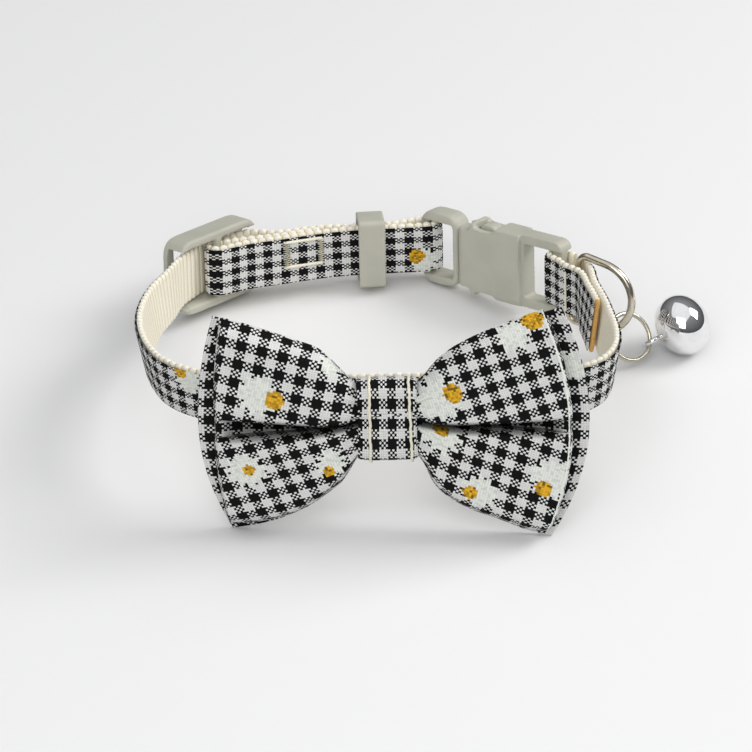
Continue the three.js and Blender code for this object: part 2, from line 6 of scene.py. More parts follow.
import bpy
from bpy.props import FloatProperty, FloatVectorProperty, IntProperty, PointerProperty
from mathutils import Matrix, Vector

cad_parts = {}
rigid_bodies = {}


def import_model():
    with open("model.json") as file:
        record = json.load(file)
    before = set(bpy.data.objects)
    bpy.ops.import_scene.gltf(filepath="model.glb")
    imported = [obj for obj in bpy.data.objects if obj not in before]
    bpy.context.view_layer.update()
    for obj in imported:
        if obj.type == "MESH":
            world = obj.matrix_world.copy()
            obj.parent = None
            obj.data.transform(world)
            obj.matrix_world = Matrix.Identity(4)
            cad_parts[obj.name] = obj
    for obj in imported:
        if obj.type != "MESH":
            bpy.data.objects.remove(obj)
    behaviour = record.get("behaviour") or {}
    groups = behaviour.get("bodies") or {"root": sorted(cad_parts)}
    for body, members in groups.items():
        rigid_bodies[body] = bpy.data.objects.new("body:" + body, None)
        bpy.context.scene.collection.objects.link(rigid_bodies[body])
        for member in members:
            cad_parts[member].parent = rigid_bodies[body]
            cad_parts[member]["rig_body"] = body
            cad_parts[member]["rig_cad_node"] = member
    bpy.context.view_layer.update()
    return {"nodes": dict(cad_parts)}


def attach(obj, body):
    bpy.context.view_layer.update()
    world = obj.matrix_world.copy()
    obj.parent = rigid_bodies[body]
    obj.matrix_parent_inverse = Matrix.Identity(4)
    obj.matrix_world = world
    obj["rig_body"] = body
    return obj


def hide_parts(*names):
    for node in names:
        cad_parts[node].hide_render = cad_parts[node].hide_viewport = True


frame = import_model()
nodes = frame["nodes"]

bl_info = {
    "name": "Cat Collar",
    "version": (1, 0, 0),
    "blender": (4, 5, 0),
    "location": "3D View > Sidebar > Cat Collar",
    "description": "Makes a gingham cat collar with a bow, a buckle and a bell",
    "category": "Add Mesh",
}

MM = 0.001

# The loop is drawn in a frame of its own, in millimetres: u to the right, v to the back and w up
# across the strap, from the webbing's middle line behind the bow. It leans back and to the left.
LEAN = math.radians(10.7)
ROLL = math.radians(1.3)
LOOP_ORIGIN = Vector((-7.038, -34.620, 22.469)) * MM
UPRIGHT = Matrix.Translation(LOOP_ORIGIN) @ Matrix.Scale(MM, 4)
LOOP = UPRIGHT @ Matrix.Rotation(-LEAN, 4, "X") @ Matrix.Rotation(-ROLL, 4, "Y")


# ---------------------------------------------------------------- what a user may change


def length_setting(name, description, millimetres):
    """A setting for a length."""
    default = millimetres * MM
    return FloatProperty(name=name, description=description, default=default, unit="LENGTH")


def colour_setting(name, description, default):
    """A setting for a colour."""
    return FloatVectorProperty(
        name=name, description=description, default=default, subtype="COLOR"
    )


def light_setting(name, description, default):
    """A setting for a light."""
    return FloatProperty(name=name, description=description, default=default)


class StrapSettings(bpy.types.PropertyGroup):
    width: length_setting("Width", "Width of the webbing", 10)
    thickness: length_setting("Thickness", "Thickness of the webbing", 1)
    rib: length_setting("Rib", "Distance from rib to rib", 1.65)
    rib_height: length_setting("Rib height", "How far a rib stands out", 0.1)
    ribbon_width: length_setting("Ribbon width", "Width of the ribbon", 9.3)
    ribbon_thickness: length_setting("Ribbon thickness", "Thickness of the ribbon", 0.42)
    cream: colour_setting("Cream", "Colour of the webbing", (0.95, 0.90, 0.76))


class ClothSettings(bpy.types.PropertyGroup):
    thickness: length_setting("Thickness", "Thickness of the bow's cloth", 0.45)
    black: colour_setting("Black", "Colour of the black threads", (0.0045, 0.0045, 0.0050))
    white: colour_setting("White", "Colour of the white threads", (0.86, 0.86, 0.845))
    petal: colour_setting("Petals", "Colour of the daisies' petals", (0.85, 0.88, 0.82))
    yolk: colour_setting("Middles", "Colour of the daisies' middles", (0.86, 0.48, 0.03))


class PlasticSettings(bpy.types.PropertyGroup):
    colour: colour_setting("Colour", "Colour of the buckle", (0.50, 0.495, 0.42))
    grain: length_setting("Grain", "Size of the buckle's mesh", 0.17)
    rounding: IntProperty(
        name="Rounding", description="How many times the buckle's edges are smoothed",
        default=9,
    )


class MetalSettings(bpy.types.PropertyGroup):
    ring_wire: length_setting("D-ring wire", "Thickness of the D-ring", 1.5)
    jump_wire: length_setting("Jump ring wire", "Thickness of the jump ring", 0.85)
    bell_radius: length_setting("Bell radius", "Radius of the bell's middle", 6)
    nickel: colour_setting("Nickel", "Colour of the rings", (0.66, 0.61, 0.50))
    chrome: colour_setting("Chrome", "Colour of the bell", (0.86, 0.86, 0.87))


class StageSettings(bpy.types.PropertyGroup):
    key: light_setting("Key", "Power of the light at the right", 4.1)
    fill: light_setting("Fill", "Power of the light in front", 3.8)
    overhead: light_setting("Overhead", "Power of the light above", 8.5)
    sky: light_setting("Sky", "Strength of the light all round", 0.34)
    floor: colour_setting("Floor", "Colour of the table", (0.86, 0.86, 0.865))


SETTINGS = {
    "collar_strap": StrapSettings,
    "collar_cloth": ClothSettings,
    "collar_plastic": PlasticSettings,
    "collar_metal": MetalSettings,
    "collar_stage": StageSettings,
}


# ---------------------------------------------------------------- materials


def shader_math(operation):
    """A method that gives a value's result from one kind of math node."""
    return lambda value, *others: value.paint.math(operation, value, *others)


class Value:
    """A shader socket that can be used in an expression."""

    def __init__(self, paint, socket):
        self.paint = paint
        self.socket = socket

    __add__ = __radd__ = shader_math("ADD")
    __sub__ = shader_math("SUBTRACT")
    __mul__ = shader_math("MULTIPLY")
    __truediv__ = shader_math("DIVIDE")
    __mod__ = shader_math("FLOORED_MODULO")
    __lt__ = shader_math("LESS_THAN")
    floor = shader_math("FLOOR")
    fraction = shader_math("FRACT")
    absolute = shader_math("ABSOLUTE")

    def __rsub__(self, other):
        return self.paint.math("SUBTRACT", other, self)


class Paint:
    """Makes one material's nodes."""

    def __init__(self, name, **surface):
        self.material = bpy.data.materials.new(name)
        self.material.use_nodes = True
        self.tree = self.material.node_tree
        self.tree.nodes.clear()
        self.surface = self.tree.nodes.new("ShaderNodeBsdfPrincipled")
        output = self.tree.nodes.new("ShaderNodeOutputMaterial")
        self.tree.links.new(self.surface.outputs[0], output.inputs["Surface"])
        self.set(**surface)

    def fill(self, socket, value):
        if isinstance(value, Value):
            self.tree.links.new(value.socket, socket)
        elif socket.type == "RGBA":
            socket.default_value = (*value[:3], 1)
        else:
            socket.default_value = value

    def set(self, **surface):
        for name, value in surface.items():
            socket = name.replace("_", " ").title().replace("Ior", "IOR")
            self.fill(self.surface.inputs[socket], value)

    def finished(self, colour, roughness, *relief):
        """The material, with what varies over it. relief is what bump() takes."""
        self.set(base_color=colour, roughness=roughness, normal=self.bump(*relief))
        return self.material

    def node(self, kind, settings, values, output=0):
        made = self.tree.nodes.new(kind)
        for name, setting in settings.items():
            if name == "stops":
                for element, (place, shade) in zip(made.color_ramp.elements, setting):
                    element.position = place
                    element.color = (shade, shade, shade, 1)
            else:
                setattr(made, name, setting)
        for name, value in values.items():
            self.fill(made.inputs[name], value)
        return Value(self, made.outputs[output])

    def uv(self, layer="cloth"):
        place = self.node("ShaderNodeUVMap", {"uv_map": layer}, {})
        return place, self.part(place, "X"), self.part(place, "Y")

    def object_place(self):
        return self.node("ShaderNodeTexCoord", {}, {}, "Object")

    def part(self, vector, axis):
        return self.node("ShaderNodeSeparateXYZ", {}, {0: vector}, axis)

    def vector(self, x, y, z=0.0):
        return self.node("ShaderNodeCombineXYZ", {}, {0: x, 1: y, 2: z})

    def math(self, operation, *values):
        return self.node("ShaderNodeMath", {"operation": operation}, dict(enumerate(values)))

    def vector_math(self, operation, *values, output=0):
        settings = {"operation": operation}
        return self.node("ShaderNodeVectorMath", settings, dict(enumerate(values)), output)

    def length(self, vector):
        return self.vector_math("LENGTH", vector, output="Value")

    def noise(self, place, scale, detail=2.0, rough=0.5):
        values = {"Vector": place, "Scale": scale, "Detail": detail, "Roughness": rough}
        return self.node("ShaderNodeTexNoise", {}, values, "Fac")

    def ramp(self, value, low, high):
        """0 below low and 1 above high, with a smooth step between."""
        settings = {"interpolation_type": "SMOOTHSTEP"}
        values = {0: value, 1: low, 2: high, 3: 0.0, 4: 1.0}
        return self.node("ShaderNodeMapRange", settings, values)

    def blend(self, share, first, second, kind="MIX"):
        settings = {"data_type": "RGBA", "blend_type": kind}
        return self.node("ShaderNodeMix", settings, {0: share, 6: first, 7: second}, 2)

    def shade(self, colour, share, amount):
        """The colour times 1 at share 1 and times 1 - amount at share 0."""
        settings = {"stops": ((0.0, 0.0), (1.0, 1.0))}
        grey = self.node("ShaderNodeValToRGB", settings, {0: share}, "Color")
        return self.blend(amount, colour, grey, "MULTIPLY")

    def bump(self, height, depth, strength, under=None):
        """Relief of a depth in millimetres, over any that is under it."""
        values = {"Strength": strength, "Distance": depth * MM, "Height": height}
        if under is not None:
            values["Normal"] = under
        return self.node("ShaderNodeBump", {}, values)


def tint(colour, share, lift=0.0):
    """A darker or lighter colour."""
    return [share * c + lift for c in colour]


# Where the daisies are, in millimetres on each cloth: the middle of the petals, the petals'
# length, the yellow middle's place from there and its radius.
DAISIES = {
    "front": (
        (-22.8, 61.8, 3.6, 3.1, -0.1, 1.65),
        (-29.9, -62.3, 3.7, 0.4, 0.1, 1.1),
        (-14.5, -65.2, 2.8, -1.0, -1.4, 1.1),
        (-10.9, 70.9, 2.5, 0.0, 0.0, 0.0),
        (28.5, 71.2, 3.1, 4.6, 1.7, 2.0),
        (11.4, 63.7, 4.3, 2.9, 0.4, 1.85),
        (10.3, -58.4, 4.0, 0.0, 0.9, 1.4),
        (19.6, -67.0, 3.4, -1.6, -0.7, 1.4),
        (31.5, -60.0, 4.0, -1.0, -2.4, 1.6),
    ),
    "back": ((34.2, 10.6, 2.9, -1.8, 0.6, 0.8),),
    "strap": (
        (67.8, -2.2, 2.5, -1.5, 0.9, 1.5),
        (191.5, 3.0, 2.8, -1.5, 1.2, 1.3),
    ),
    "wrap": (),
}

# Each cloth's thread pitch across and along it, and how far its checks are moved, in millimetres.
WEAVE = {
    "front": (0.470, 0.420, 0.0, 0.0),
    "back": (0.484, 0.430, -0.41, 1.96),
    "strap": (0.445, 0.295, 1.91, -0.36),
    "wrap": (0.401, 0.499, 1.52, -0.52),
}


CHECK = 4  # threads across a check


def daisy_masks(paint, spot, name):
    """The petals and the middles of a cloth's daisies. The place steps from thread to thread."""
    petals = paint.vector(0.0, 0.0)
    near = 0.0
    middles = 0.0
    for x, y, reach, along, up, radius in DAISIES[name]:
        away = paint.vector_math("SUBTRACT", spot, (x, y, 0.0))
        inside = paint.length(away) < reach * 1.15
        own = paint.vector_math("MULTIPLY", away, paint.vector(inside, inside))
        petals = paint.vector_math("ADD", own, petals)
        near = inside * reach + near
        yellow = paint.vector_math("SUBTRACT", spot, (x + along, y + up, 0.0))
        middles = (paint.length(yellow) < radius) + middles
    far = paint.length(petals)
    turn = paint.math("ARCTAN2", paint.part(petals, "Y"), paint.part(petals, "X"))
    ragged = paint.noise(spot, 0.9, 1.0)
    edge = near * (paint.math("COSINE", turn * 11.0) * 0.17 + 0.80 + ragged * 0.22)
    return far < edge, middles


def gingham(name):
    """Black and white checks of woven threads, with daisies woven over them."""
    cloth = bpy.context.scene.collar_cloth
    wide, tall, shift_u, shift_v = WEAVE[name]
    paint = Paint("gingham_" + name, roughness=0.9, specular_ior_level=0.06)
    place, u, v = paint.uv()
    drift = paint.noise(place, 0.10, 2.0)
    across = (u + shift_u + (drift - 0.5) * 0.5) / wide
    along = (v + shift_v + (paint.noise(place, 0.08, 2.0) - 0.5) * 0.5) / tall
    column = across.floor()
    row = along.floor()
    weft_over = (column + row) % 2.0
    warp_black = (column / CHECK).floor() % 2.0
    weft_black = (row / CHECK).floor() % 2.0
    black = warp_black + weft_over * (weft_black - warp_black)
    off_warp = across.fraction() * 2.0 - 1.0
    off_weft = along.fraction() * 2.0 - 1.0
    warp_height = 1.0 - off_warp * off_warp - off_weft * off_weft * 0.35
    weft_height = 1.0 - off_weft * off_weft - off_warp * off_warp * 0.35
    height = warp_height + weft_over * (weft_height - warp_height)
    crossing = (warp_black - weft_black).absolute()
    black = paint.math("MAXIMUM", crossing * (1.0 - paint.ramp(height, 0.10, 0.42)), black)
    fibre = paint.noise(paint.vector(u * 9.0, v * 9.0), 1.0, 3.0, 0.6)
    worn = paint.noise(place, 0.5, 3.0)
    white = paint.blend(paint.ramp(worn, 0.35, 0.7), cloth.white, tint(cloth.white, 0.94))
    # Painted shade: each white thread is darker where it dips at its sides.
    light = paint.shade(white, paint.ramp(height, -0.5, 0.45), 0.55)
    light = paint.shade(light, paint.ramp(fibre, 0.3, 0.7), 0.16)
    ink = paint.blend(fibre, cloth.black, tint(cloth.black, 2.0, 0.003))
    colour = paint.blend(black, light, ink)
    if DAISIES[name]:
        spot = paint.vector((column + 0.5) * wide - shift_u, (row + 0.5) * tall - shift_v)
        petals, middles = daisy_masks(paint, spot, name)
        fleck = paint.noise(paint.vector(column, row), 0.9, 1.0)
        dim = tint(cloth.petal, 0.84)
        petal = paint.blend(paint.ramp(fleck, 0.5, 0.62), cloth.petal, dim)
        # Painted shade: the petals' threads are darker along their sides.
        petal = paint.shade(petal, paint.ramp(off_warp * off_warp, 1.0, 0.1), 0.10)
        colour = paint.blend(petals, colour, petal)
        specks = paint.noise(paint.vector(column * 3.0, row * 3.0), 0.8, 0.0)
        dark = paint.ramp(specks, 0.58, 0.66)
        tone = paint.ramp(paint.noise(paint.vector(column, row), 1.7, 0.0), 0.42, 0.60)
        yolk = paint.blend(tone, cloth.yolk, tint(cloth.yolk, 0.58, 0.01))
        yolk = paint.blend(dark, yolk, tint(cloth.yolk, 0.22, 0.01))
        # Painted shade: the yellow threads are darker where they dip.
        yolk = paint.shade(yolk, paint.ramp(height, -0.6, 0.3), 0.45)
        colour = paint.blend(middles, colour, yolk)
    if name == "front":
        # Above 0 this value paints shade into the dark fold between the lips; below 0 it marks
        # where a side edge has frayed white.
        fold_shade_and_fray = paint.node("ShaderNodeAttribute", {"attribute_name": "fold_shade_and_fray"}, {}, "Fac")
        colour = paint.shade(colour, 1.0 - fold_shade_and_fray, 1.0)
        frayed = paint.noise(paint.vector(u * 1.3, v * 1.3), 1.0, 2.0) * 0.9 + fold_shade_and_fray < -0.10
        colour = paint.blend(frayed, colour, cloth.petal)
    wrinkle = paint.bump(paint.noise(place, 0.28, 3.0), 0.35, 0.5)
    return paint.finished(colour, fibre * 0.15 + 0.78, height + fibre * 0.3, 0.11, 0.8, wrinkle)


def ribbed_webbing():
    """Cream webbing with painted golden shade in the valleys between its ribs and between the
    loops along its edges.
    """
    strap = bpy.context.scene.collar_strap
    paint = Paint("cream_webbing", roughness=0.75, specular_ior_level=0.3)
    place, u, v = paint.uv()
    phase = (u / (strap.rib / MM)).fraction() * 2.0 - 1.0
    ridge = 1.0 - phase * phase
    strand = paint.noise(paint.vector(u * 1.5, v * 9.0), 1.0, 3.0, 0.6)
    drift = paint.noise(place, 0.12, 2.0)
    # Painted shade: the valleys between the ribs and between the edge loops take this darker gold.
    golden_valley_shade = paint.blend(drift, (0.58, 0.45, 0.17), (0.72, 0.60, 0.32))
    colour = paint.blend(paint.ramp(ridge, -0.10, 0.50), golden_valley_shade, strap.cream)
    loop = (u / SELVAGE).fraction() * 2.0 - 1.0
    round_loop = paint.ramp(1.0 - loop * loop, 0.10, 0.55)
    looped = paint.blend(round_loop, golden_valley_shade, (0.97, 0.93, 0.82))
    colour = paint.blend(paint.ramp(v.absolute(), 4.35, 4.6), colour, looped)
    # The tail's cut end is sealed with heat, which turns it amber.
    amber = paint.blend(strand, (0.50, 0.22, 0.02), (0.80, 0.47, 0.10))
    colour = paint.blend(paint.ramp(u, SEALED, SEALED + 0.8) * 0.9, colour, amber)
    colour = paint.shade(colour, paint.ramp(strand, 0.3, 0.7), 0.14)
    return paint.finished(colour, strand * 0.2 + 0.62, ridge * 0.5 + strand * 0.35, 0.12, 0.8)


def moulded_plastic():
    """Sage-grey plastic with a fine moulded grain, a little duller where it is handled."""
    settings = bpy.context.scene.collar_plastic
    paint = Paint("sage_plastic", specular_ior_level=0.42, subsurface_weight=0.06)
    paint.surface.inputs["Subsurface Radius"].default_value = (1.0, 0.9, 0.7)
    paint.surface.inputs["Subsurface Scale"].default_value = 0.8 * MM
    place = paint.object_place()
    grain = paint.noise(place, 9000.0, 3.0, 0.6)
    cloud = paint.noise(place, 160.0, 3.0)
    stretched = paint.vector_math("MULTIPLY", place, (900.0, 5200.0, 900.0))
    scuffs = paint.noise(stretched, 1.0, 4.0)
    colour = paint.blend(paint.ramp(cloud, 0.3, 0.7), settings.colour, tint(settings.colour, 0.93))
    pale = tint(settings.colour, 1.15)
    colour = paint.blend(paint.ramp(scuffs, 0.68, 0.8) * 0.3, colour, pale)
    rough = cloud * 0.16 + grain * 0.08 + 0.34
    return paint.finished(colour, rough, grain + scuffs * 0.5, 0.02, 0.5)


def plated_wire():
    """Nickel plate with fine drawing marks."""
    paint = Paint("nickel_wire", metallic=1.0, specular_ior_level=0.5)
    place = paint.object_place()
    cloud = paint.noise(place, 420.0, 4.0)
    fine = paint.noise(place, 5200.0, 3.0, 0.7)
    nickel = bpy.context.scene.collar_metal.nickel
    colour = paint.blend(paint.ramp(cloud, 0.35, 0.7), nickel, tint(nickel, 0.82))
    return paint.finished(colour, cloud * 0.14 + fine * 0.08 + 0.08, fine, 0.015, 0.35)


def polished_chrome():
    """Bright plate, with a slight unevenness from pressing and faint fingermarks."""
    paint = Paint("bell_chrome", metallic=1.0, specular_ior_level=0.5)
    place = paint.object_place()
    dent = paint.noise(place, 230.0, 1.0)
    smear = paint.noise(place, 900.0, 4.0, 0.6)
    chrome = bpy.context.scene.collar_metal.chrome
    colour = paint.blend(paint.ramp(smear, 0.45, 0.75), chrome, tint(chrome, 0.93))
    return paint.finished(colour, paint.ramp(smear, 0.4, 0.8) * 0.09 + 0.035, dent, 0.25, 0.12)


def sewing_thread():
    """Cream cotton thread with its twist."""
    paint = Paint("cream_thread", roughness=0.7, specular_ior_level=0.25)
    place = paint.object_place()
    turn = paint.vector_math("MULTIPLY", place, (4200.0, 4200.0, 9000.0))
    twist = paint.noise(turn, 1.0, 2.0)
    colour = paint.blend(twist, (0.78, 0.72, 0.56), (0.90, 0.87, 0.74))
    return paint.finished(colour, twist * 0.2 + 0.6, twist, 0.05, 0.7)


def white_table():
    """A plain white table top."""
    stage = bpy.context.scene.collar_stage
    paint = Paint("white_table", roughness=0.6, specular_ior_level=0.2)
    place = paint.object_place()
    cloud = paint.noise(place, 6.0, 2.0)
    fine = paint.noise(place, 900.0, 3.0)
    colour = paint.blend(cloud, stage.floor, tint(stage.floor, 0.985))
    return paint.finished(colour, fine * 0.1 + 0.55, fine, 0.02, 0.2)


LOOKS = {
    "gingham_front": lambda: gingham("front"),
    "gingham_back": lambda: gingham("back"),
    "gingham_strap": lambda: gingham("strap"),
    "gingham_wrap": lambda: gingham("wrap"),
    "cream_webbing": ribbed_webbing,
    "sage_plastic": moulded_plastic,
    "nickel_wire": plated_wire,
    "bell_chrome": polished_chrome,
    "cream_thread": sewing_thread,
    "white_table": white_table,
}


def material(name):
    """The material of that name, made the first time it is asked for."""
    return bpy.data.materials.get(name) or LOOKS[name]()


# ---------------------------------------------------------------- making pieces


def only(piece=None):
    """Selects nothing but the piece."""
    if bpy.context.object and bpy.context.object.mode != "OBJECT":
        bpy.ops.object.mode_set(mode="OBJECT")
    bpy.ops.object.select_all(action="DESELECT")
    if piece is not None:
        piece.select_set(True)
        bpy.context.view_layer.objects.active = piece


def add(primitive, **settings):
    """Adds a primitive by itself."""
    only()
    primitive(**settings)
    return bpy.context.object


def settle(piece):
    """Puts a piece's place, turn and size into its mesh."""
    only(piece)
    bpy.ops.object.transform_apply(location=True, rotation=True, scale=True)


def apply(piece, kind, **settings):
    """Adds a modifier with its settings and applies it."""
    only(piece)
    modifier = piece.modifiers.new(kind.title(), kind)
    for name, value in settings.items():
        setattr(modifier, name, value)
    bpy.ops.object.modifier_apply(modifier=modifier.name)


DOUBLES = 1e-7  # points nearer than this, in metres, are one point


def merge(piece, distance=DOUBLES):
    """Merges doubles and turns the faces outwards."""
    only(piece)
    bpy.ops.object.mode_set(mode="EDIT")
    bpy.ops.mesh.select_all(action="SELECT")
    bpy.ops.mesh.remove_doubles(threshold=distance)
    bpy.ops.mesh.normals_make_consistent(inside=False)
    bpy.ops.object.mode_set(mode="OBJECT")


def soften(piece, width):
    """Rounds the cut edges of a cloth."""
    limit = math.radians(60)
    apply(piece, "BEVEL", width=width, segments=3, limit_method="ANGLE", angle_limit=limit)


def finish(piece, name, look, replaced=(), angle=None):
    """Names a finished piece, gives it its look and lets it ride on the collar. replaced is the
    frame's pieces that it stands for."""
    only(piece)
    piece.name = name
    piece.data.name = name
    piece.data.materials.clear()
    piece.data.materials.append(material(look))
    if angle is None:
        bpy.ops.object.shade_smooth()
    else:
        bpy.ops.object.shade_smooth_by_angle(angle=math.radians(angle))
    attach(piece, "root")
    if replaced:
        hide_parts(*replaced)


def cloth_mesh(name, points, faces, uvs):
    """A mesh from points, with a place on the flat cloth for each corner of a face."""
    mesh = bpy.data.meshes.new(name)
    mesh.from_pydata(points, [], faces)
    layer = mesh.uv_layers.new(name="cloth")
    flat = [value for face in uvs for corner in face for value in corner]
    layer.data.foreach_set("uv", flat)
    piece = bpy.data.objects.new(name, mesh)
    bpy.context.collection.objects.link(piece)
    return piece


def smooth_step(share):
    share = min(1.0, max(0.0, share))
    return share * share * (3 - 2 * share)


# ---------------------------------------------------------------- the strap

# The webbing's middle line: u, v and flare, which is how far its top edge stands out.
SEWN_TAIL = ((-12.80, 77.20, 0), (-20.40, 74.50, 0), (-27.78, 72.66, 0))
SLIDER_FOLD = (
    (-33.07, 70.85, 0), (-34.06, 70.14, 0), (-34.26, 68.94, 0), (-33.55, 67.95, 0),
    (-32.35, 67.75, 0),
)
INSIDE_BACK = (
    (-27.31, 70.61, 0), (-19.96, 73.28, 0), (-12.44, 75.95, 0), (-7.41, 77.06, 0),
    (-2.94, 77.65, 0), (3.85, 78.13, 0),
)
MALE_BAR = (
    (8.58, 78.80, 0), (9.80, 79.64, 0), (10.07, 81.11, 0), (9.23, 82.33, 0), (7.77, 82.60, 0),
)
OUTSIDE_BACK = (
    (3.35, 80.47, 0), (-0.07, 79.21, 0), (-6.05, 78.69, 0), (-13.16, 78.45, 0),
    (-21.02, 76.19, 0), (-26.91, 76.86, 0), (-30.88, 74.05, 0), (-35.01, 71.37, 0),
    (-37.54, 67.25, 0), (-39.62, 62.74, 0),
)
ROUND_NECK = (
    (-41.60, 55.40, 0.3), (-43.90, 47.50, 0.6), (-45.20, 39.00, 0.8), (-45.40, 31.00, 0.9),
    (-44.70, 24.00, 0.9), (-43.20, 17.60, 0.9), (-40.80, 11.40, 0.8), (-36.80, 6.40, 0.6),
    (-31.00, 2.70, 0.4), (-22.00, 0.70, 0.2), (-11.00, 0.10, 0), (0.00, 0.00, 0),
    (11.00, 0.10, 0), (21.00, 0.40, 0.2), (29.50, 1.10, 0.4), (35.60, 3.30, 0.6),
    (39.40, 7.40, 0.8), (41.40, 13.50, 0.9), (41.80, 20.50, 0.9), (41.20, 29.00, 0.8),
    (40.30, 37.50, 0.7), (39.20, 46.00, 0.4), (38.96, 53.66, 0), (38.11, 56.56, 0),
    (36.99, 59.34, 0),
)
FEMALE_BAR = (
    (35.20, 61.26, 0), (34.16, 62.32, 0), (32.67, 62.33, 0), (31.61, 61.29, 0),
    (31.60, 59.80, 0),
)
INNER_TAIL = (
    (33.04, 57.74, 0), (34.17, 54.96, 0), (36.99, 51.25, 0), (37.90, 44.20, -0.4),
    (38.70, 38.60, -0.6), (39.20, 34.00, -0.7),
)
BACK_OF_STRAP = (*SEWN_TAIL, *SLIDER_FOLD, *INSIDE_BACK, *MALE_BAR, *OUTSIDE_BACK)
ROUTE = (*BACK_OF_STRAP, *ROUND_NECK, *FEMALE_BAR, *INNER_TAIL)
RIBBON_START = len(SEWN_TAIL) + 2  # the middle of the slider's fold
STRAP_STEP = 0.24  # millimetres between the strap's cross-sections


def eased(start, end, leave, arrive, t):
    """The place at share t of a cubic curve that leaves start and arrives at end as told."""
    bend = (end - start) * 3 - leave * 2 - arrive
    twist = (start - end) * 2 + leave + arrive
    return start + leave * t + bend * t * t + twist * t**3


def smooth_line(stations, steps=12):
    """A smooth line through the stations, with steps between one and the next."""
    knots = [Vector(station) for station in stations]
    knots = [knots[0] * 2 - knots[1], *knots, knots[-1] * 2 - knots[-2]]
    line = []
    for before, start, end, after in zip(knots, knots[1:], knots[2:], knots[3:]):
        a = math.sqrt((start - before).length)
        b = math.sqrt((end - start).length)
        c = math.sqrt((after - end).length)
        leave = ((start - before) / a - (end - before) / (a + b) + (end - start) / b) * b
        arrive = ((end - start) / b - (after - start) / (b + c) + (after - end) / c) * b
        line += [eased(start, end, leave, arrive, i / steps) for i in range(steps)]
    return [*line, knots[-2]]


def distances(line):
    """How far along a line each of its points is."""
    reached = [0.0]
    for a, b in zip(line, line[1:]):
        reached.append(reached[-1] + (b - a).length)
    return reached


def even_steps(line, spacing):
    """The line's points at even distances, each with its distance from the line's start."""
    reached = distances(line)
    count = round(reached[-1] / spacing)
    points = []
    i = 0
    for k in range(count + 1):
        distance = reached[-1] * k / count
        while i + 2 < len(line) and reached[i + 1] < distance:
            i += 1
        share = (distance - reached[i]) / (reached[i + 1] - reached[i])
        points.append((line[i].lerp(line[i + 1], share), distance))
    return points


def strip_steps(stations, spacing):
    """Each step's place, outward normal, flare and distance along the strap."""
    points = even_steps(smooth_line(stations), spacing)
    steps = []
    for i, (point, distance) in enumerate(points):
        before = points[max(i - 2, 0)][0]
        after = points[min(i + 2, len(points) - 1)][0]
        ahead = Vector((after.x - before.x, after.y - before.y, 0)).normalized()
        place = Vector((point.x, point.y, 0))
        steps.append((place, Vector((ahead.y, -ahead.x, 0)), point.z, distance))
    return steps


def edge_profile(half_width, half_thick, count=7):
    """Half of a strip's cross-section: how far across, and how thick there, from edge to edge."""
    profile = []
    for i in range(-count, count + 1):
        share = i / count
        across = math.sin(share * math.pi / 2)
        thick = math.sqrt(max(0.0, 1 - abs(across) ** 9))
        profile.append((across * half_width, half_thick * thick))
    return profile


SELVAGE = 1.65  # the pitch of the thick loops along the webbing's edges
LOOP_SIZE = {"from": 0.86, "thick": 0.30, "out": 0.32}  # where across they start, and their size
SEALED = 357.2  # how far along the webbing its heat-sealed end starts
SEAM = 0.1  # between the webbing and the ribbon


def strip(name, steps, width, inner, outer, ribs=None):
    """A strip of cloth between two offsets outwards. ribs is the ribs' pitch and height."""
    middle = (inner + outer) / 2
    profile = edge_profile(width / 2, (outer - inner) / 2)
    ring = [(across, 1, thick) for across, thick in profile]
    ring += [(across, -1, thick) for across, thick in reversed(profile[1:-1])]
    points = []
    length = steps[-1][3]
    for place, normal, flare, distance in steps:
        swell = 0.0
        if ribs:
            pitch, height = ribs
            swell = height * (abs(math.sin(math.pi * distance / pitch)) - 0.6)
            lump = abs(math.sin(math.pi * distance / SELVAGE))
        end = min(distance, length - distance)
        taper = 0.55 + 0.45 * smooth_step(end / 0.5)
        for across, face, thick in ring:
            reach = across * (1 + 0.35 * swell / (width / 2))
            if ribs:
                start = LOOP_SIZE["from"]
                edge = max(0.0, (2 * abs(across) / width - start) / (1 - start))
                thick += LOOP_SIZE["thick"] * edge * lump if thick > 0 else 0
                reach += LOOP_SIZE["out"] * edge * lump if across > 0 else 0
            out = middle + face * (thick * taper + (swell if thick > 0 else 0))
            out += flare * 2 * across / width
            points.append(LOOP @ (place + normal * out + Vector((0, 0, reach))))
    faces = []
    uvs = []
    count = len(ring)
    total = len(profile)
    for i in range(len(steps) - 1):
        here, there = steps[i][3], steps[i + 1][3]
        for j in range(count):
            k = (j + 1) % count
            faces.append((i * count + j, i * count + k, (i + 1) * count + k, (i + 1) * count + j))
            a, b = ring[j][0], ring[k][0]
            uvs.append(((here, a), (here, b), (there, b), (there, a)))
    for i, turn in ((0, True), (len(steps) - 1, False)):
        start = i * count
        for j in range(total - 1):
            far = (count - j) % count
            nearer = count - j - 1 if j < total - 2 else total - 1
            corners = (start + j, start + j + 1, start + nearer, start + far)
            flat = tuple((steps[i][3], ring[c - start][0]) for c in corners)
            kept = [n for n, c in enumerate(corners) if c not in corners[:n]]
            corners = tuple(corners[n] for n in kept)
            flat = tuple(flat[n] for n in kept)
            if turn:
                corners, flat = corners[::-1], flat[::-1]
            faces.append(corners[::-1])
            uvs.append(flat[::-1])
    return cloth_mesh(name, points, faces, uvs)


class COLLAR_OT_webbing(bpy.types.Operator):
    """Makes the strap's ribbed webbing"""

    bl_idname = "collar.webbing"
    bl_label = "Webbing"

    def execute(self, context):
        settings = context.scene.collar_strap
        steps = strip_steps(ROUTE, STRAP_STEP)
        half = settings.thickness / MM / 2
        ribs = (settings.rib / MM, settings.rib_height / MM)
        piece = strip("webbing", steps, settings.width / MM, -half, half, ribs)
        merge(piece)
        finish(piece, "webbing", "cream_webbing", ("strap_webbing",))
        length = steps[-1][3] * MM
        return {"FINISHED"}


